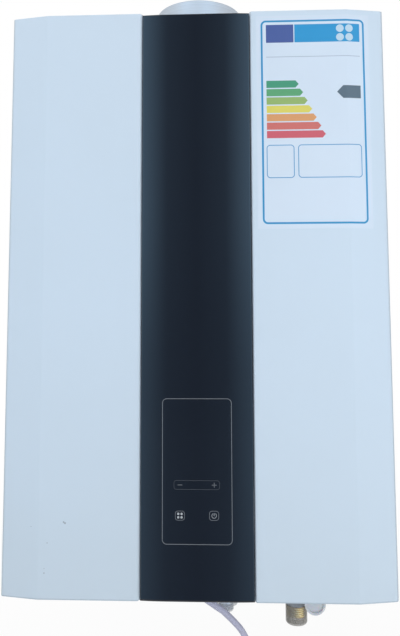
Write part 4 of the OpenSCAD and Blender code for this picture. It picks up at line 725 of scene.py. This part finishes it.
# Painted shade: the film is made opaque at the cap's left and right sides, leaving a window right of the
# middle on the brass.
shaded_left = 1 - cap_x.ramp(cap_low[0] + left_shade_span[0], cap_low[0] + left_shade_span[1])
shaded_right = cap_x.ramp(cap_high[0] - right_shade_span[0], cap_high[0] - right_shade_span[1])
end_and_painted_shade = towards_end | shaded_left | shaded_right
grey_cap.feed("Alpha", thin_film + (end_and_shade_film - thin_film) * end_and_painted_shade).on("cold_cap")
clear_cap = Finish("clear_polyethylene", alpha=0.4)
clear_cap.between(clear_cap.place.grain(160), seen(198, 201, 206), seen(212, 215, 220), (0.34, 0.24))
clear_cap.on("gas_cap", "hot_cap")
knob = Finish("clouded_knob", coat_weight=0.3, subsurface_weight=0.2)
knob.between(knob.place.grain(120), seen(204, 207, 213), seen(214, 217, 222), (0.4, 0.3))
knob.on("drain_knob")

# Studio. The heater hangs over a pale floor in white surroundings, lit by two large soft lamps and a small
# low one for the bare thread. A glowing sweep in front, dark in its middle and paler towards its sides, is
# seen
# only in gloss: it is no lamp, and it puts a painted reflection on the glass, a dark middle and pale edges.
floor_drop, floor_half = 0.004, 6.0
cad_low, cad_high = (np.array(end) for end in cad_box)


def add_card(name, centre, right, up):
    """Flat rectangle: its centre plus or minus two half sides."""
    sides = np.array([[-1, -1], [1, -1], [-1, 1], [1, 1]]) @ np.array([right, up], float)
    return add_piece(name, np.array(centre) + sides, grid_faces(2, 2, closed=False), [False])


def white_to_the_eye(light_path):
    """1 for rays that come from the camera, off a mirror or through glass, 0 for light that scatters."""
    tree, rays = light_path.tree, light_path.socket.node.outputs
    kinds = ("Is Camera Ray", "Is Glossy Ray", "Is Transmission Ray")
    from_camera, off_mirror, through_glass = (Wire(tree, rays[kind]) for kind in kinds)
    return from_camera | off_mirror | through_glass


floor = add_card("floor", (0, 0, cad_low[2] - floor_drop), (floor_half, 0, 0), (0, floor_half, 0))
ground = Finish("pale_floor", roughness=0.8, base_color=seen(244, 246, 248))
bleach_under, bleach_from, bleach_to = 0.94, 0.3, 0.9
from_middle = ground.place.node("VectorMath", {"operation": "LENGTH"}, {0: ground.place}, output=1)
bleach = bleach_under + (1 - bleach_under) * from_middle.ramp(bleach_from, bleach_to)
lit = white_to_the_eye(ground.place.node("LightPath", {}, {}))
glow = ground.place.node("Emission", {}, {"Color": (1, 1, 1, 1)})
shaded = Wire(ground.tree, ground.shader.outputs[0])
ground_mix = ground.place.node("MixShader", {}, {0: bleach * lit, 1: shaded, 2: glow})
ground.tree.links.new(ground_mix.socket, ground.tree.nodes["Material Output"].inputs["Surface"])
ground.on(floor)


def bent_sweep(near, far, low, high, bend, half_w, steps=13):
    """Backdrop in one piece: a flat apron, a quarter round of radius bend and an upright wall, carried
    straight across."""
    bow = np.linspace(0, np.pi / 2, steps)
    grid = np.empty((len(bow) + 2, 2, 3))
    grid[..., 0] = -half_w, half_w
    grid[..., 1] = np.concatenate([[near], far + bend * (1 - np.sin(bow)), [far]])[:, None]
    grid[..., 2] = np.concatenate([[low], low + bend * (1 - np.cos(bow)), [high]])[:, None]
    return grid


sweep_grid = bent_sweep(near=-0.6, far=-2.6, low=cad_low[2], high=2.2, bend=0.5, half_w=3.0)
sweep_faces = grid_faces(*sweep_grid.shape[:2], closed=False)
sweep = add_piece("dark_sweep", sweep_grid, sweep_faces, [True] * len(sweep_faces))
sweep_glow = Finish("glowing_sweep", base_color=seen(0, 0, 0), roughness=1.0, emission_strength=2.7)
# Painted reflection: the glow grows paler with the angle from the eye's mirror image behind the glass, and
# dimmer low down.
mirrored_eye_x, mirrored_eye_y, fan_lean, fan_dark, fan_pale = 30, 440, 0.05, -0.04, 0.33
dim_below, full_above, dimmed = -200, 900, 0.5
sweep_dark, sweep_pale = (0.04, 0.06, 0.10, 1), (0.42, 0.70, 1.0, 1)
away = mirrored_eye_y - sweep_glow.place.axis(1)
aside = abs(sweep_glow.place.axis(0) - mirrored_eye_x + fan_lean * away)
paler = aside.math("DIVIDE", aside, away).ramp(fan_dark, fan_pale)
paler = paler * (dimmed + (1 - dimmed) * sweep_glow.place.axis(2).ramp(dim_below, full_above))
sweep_glow.feed("Emission Color", paler.mix(sweep_dark, sweep_pale))
sweep_glow.on(sweep)
sweep.visible_camera = sweep.visible_diffuse = sweep.visible_transmission = sweep.visible_shadow = False

world = bpy.data.worlds.new("white_room")
world.use_nodes = True
scene.world = world
backdrop = world.node_tree.nodes["Background"]
backdrop.inputs["Color"].default_value = (1, 1, 1, 1)
room_level = 0.40
room_lit = white_to_the_eye(Wire(world.node_tree).node("LightPath", {}, {}))
room_strength = room_level + (1 - room_level) * room_lit
world.node_tree.links.new(room_strength.socket, backdrop.inputs["Strength"])

lamps = (
    ("key_lamp", (0.9, -1.9, 0.4), 1.2, 11.0, False),
    ("side_lamp", (-0.9, -1.6, 2.0), 1.4, 18.0, False),
    ("glint_lamp", (0.78, -0.6, -0.22), 0.18, 0.9, True),
)
for name, place, width, watts, in_gloss in lamps:
    lamp = bpy.data.objects.new(name, bpy.data.lights.new(name, "AREA"))
    lamp.data.size, lamp.data.energy = width, watts
    towards = Vector(place) - Vector((cad_low + cad_high) / 2)
    lamp.matrix_world = Matrix.Translation(place) @ towards.to_track_quat("Z", "Y").to_matrix().to_4x4()
    lamp.visible_glossy = in_gloss
    scene.collection.objects.link(lamp)
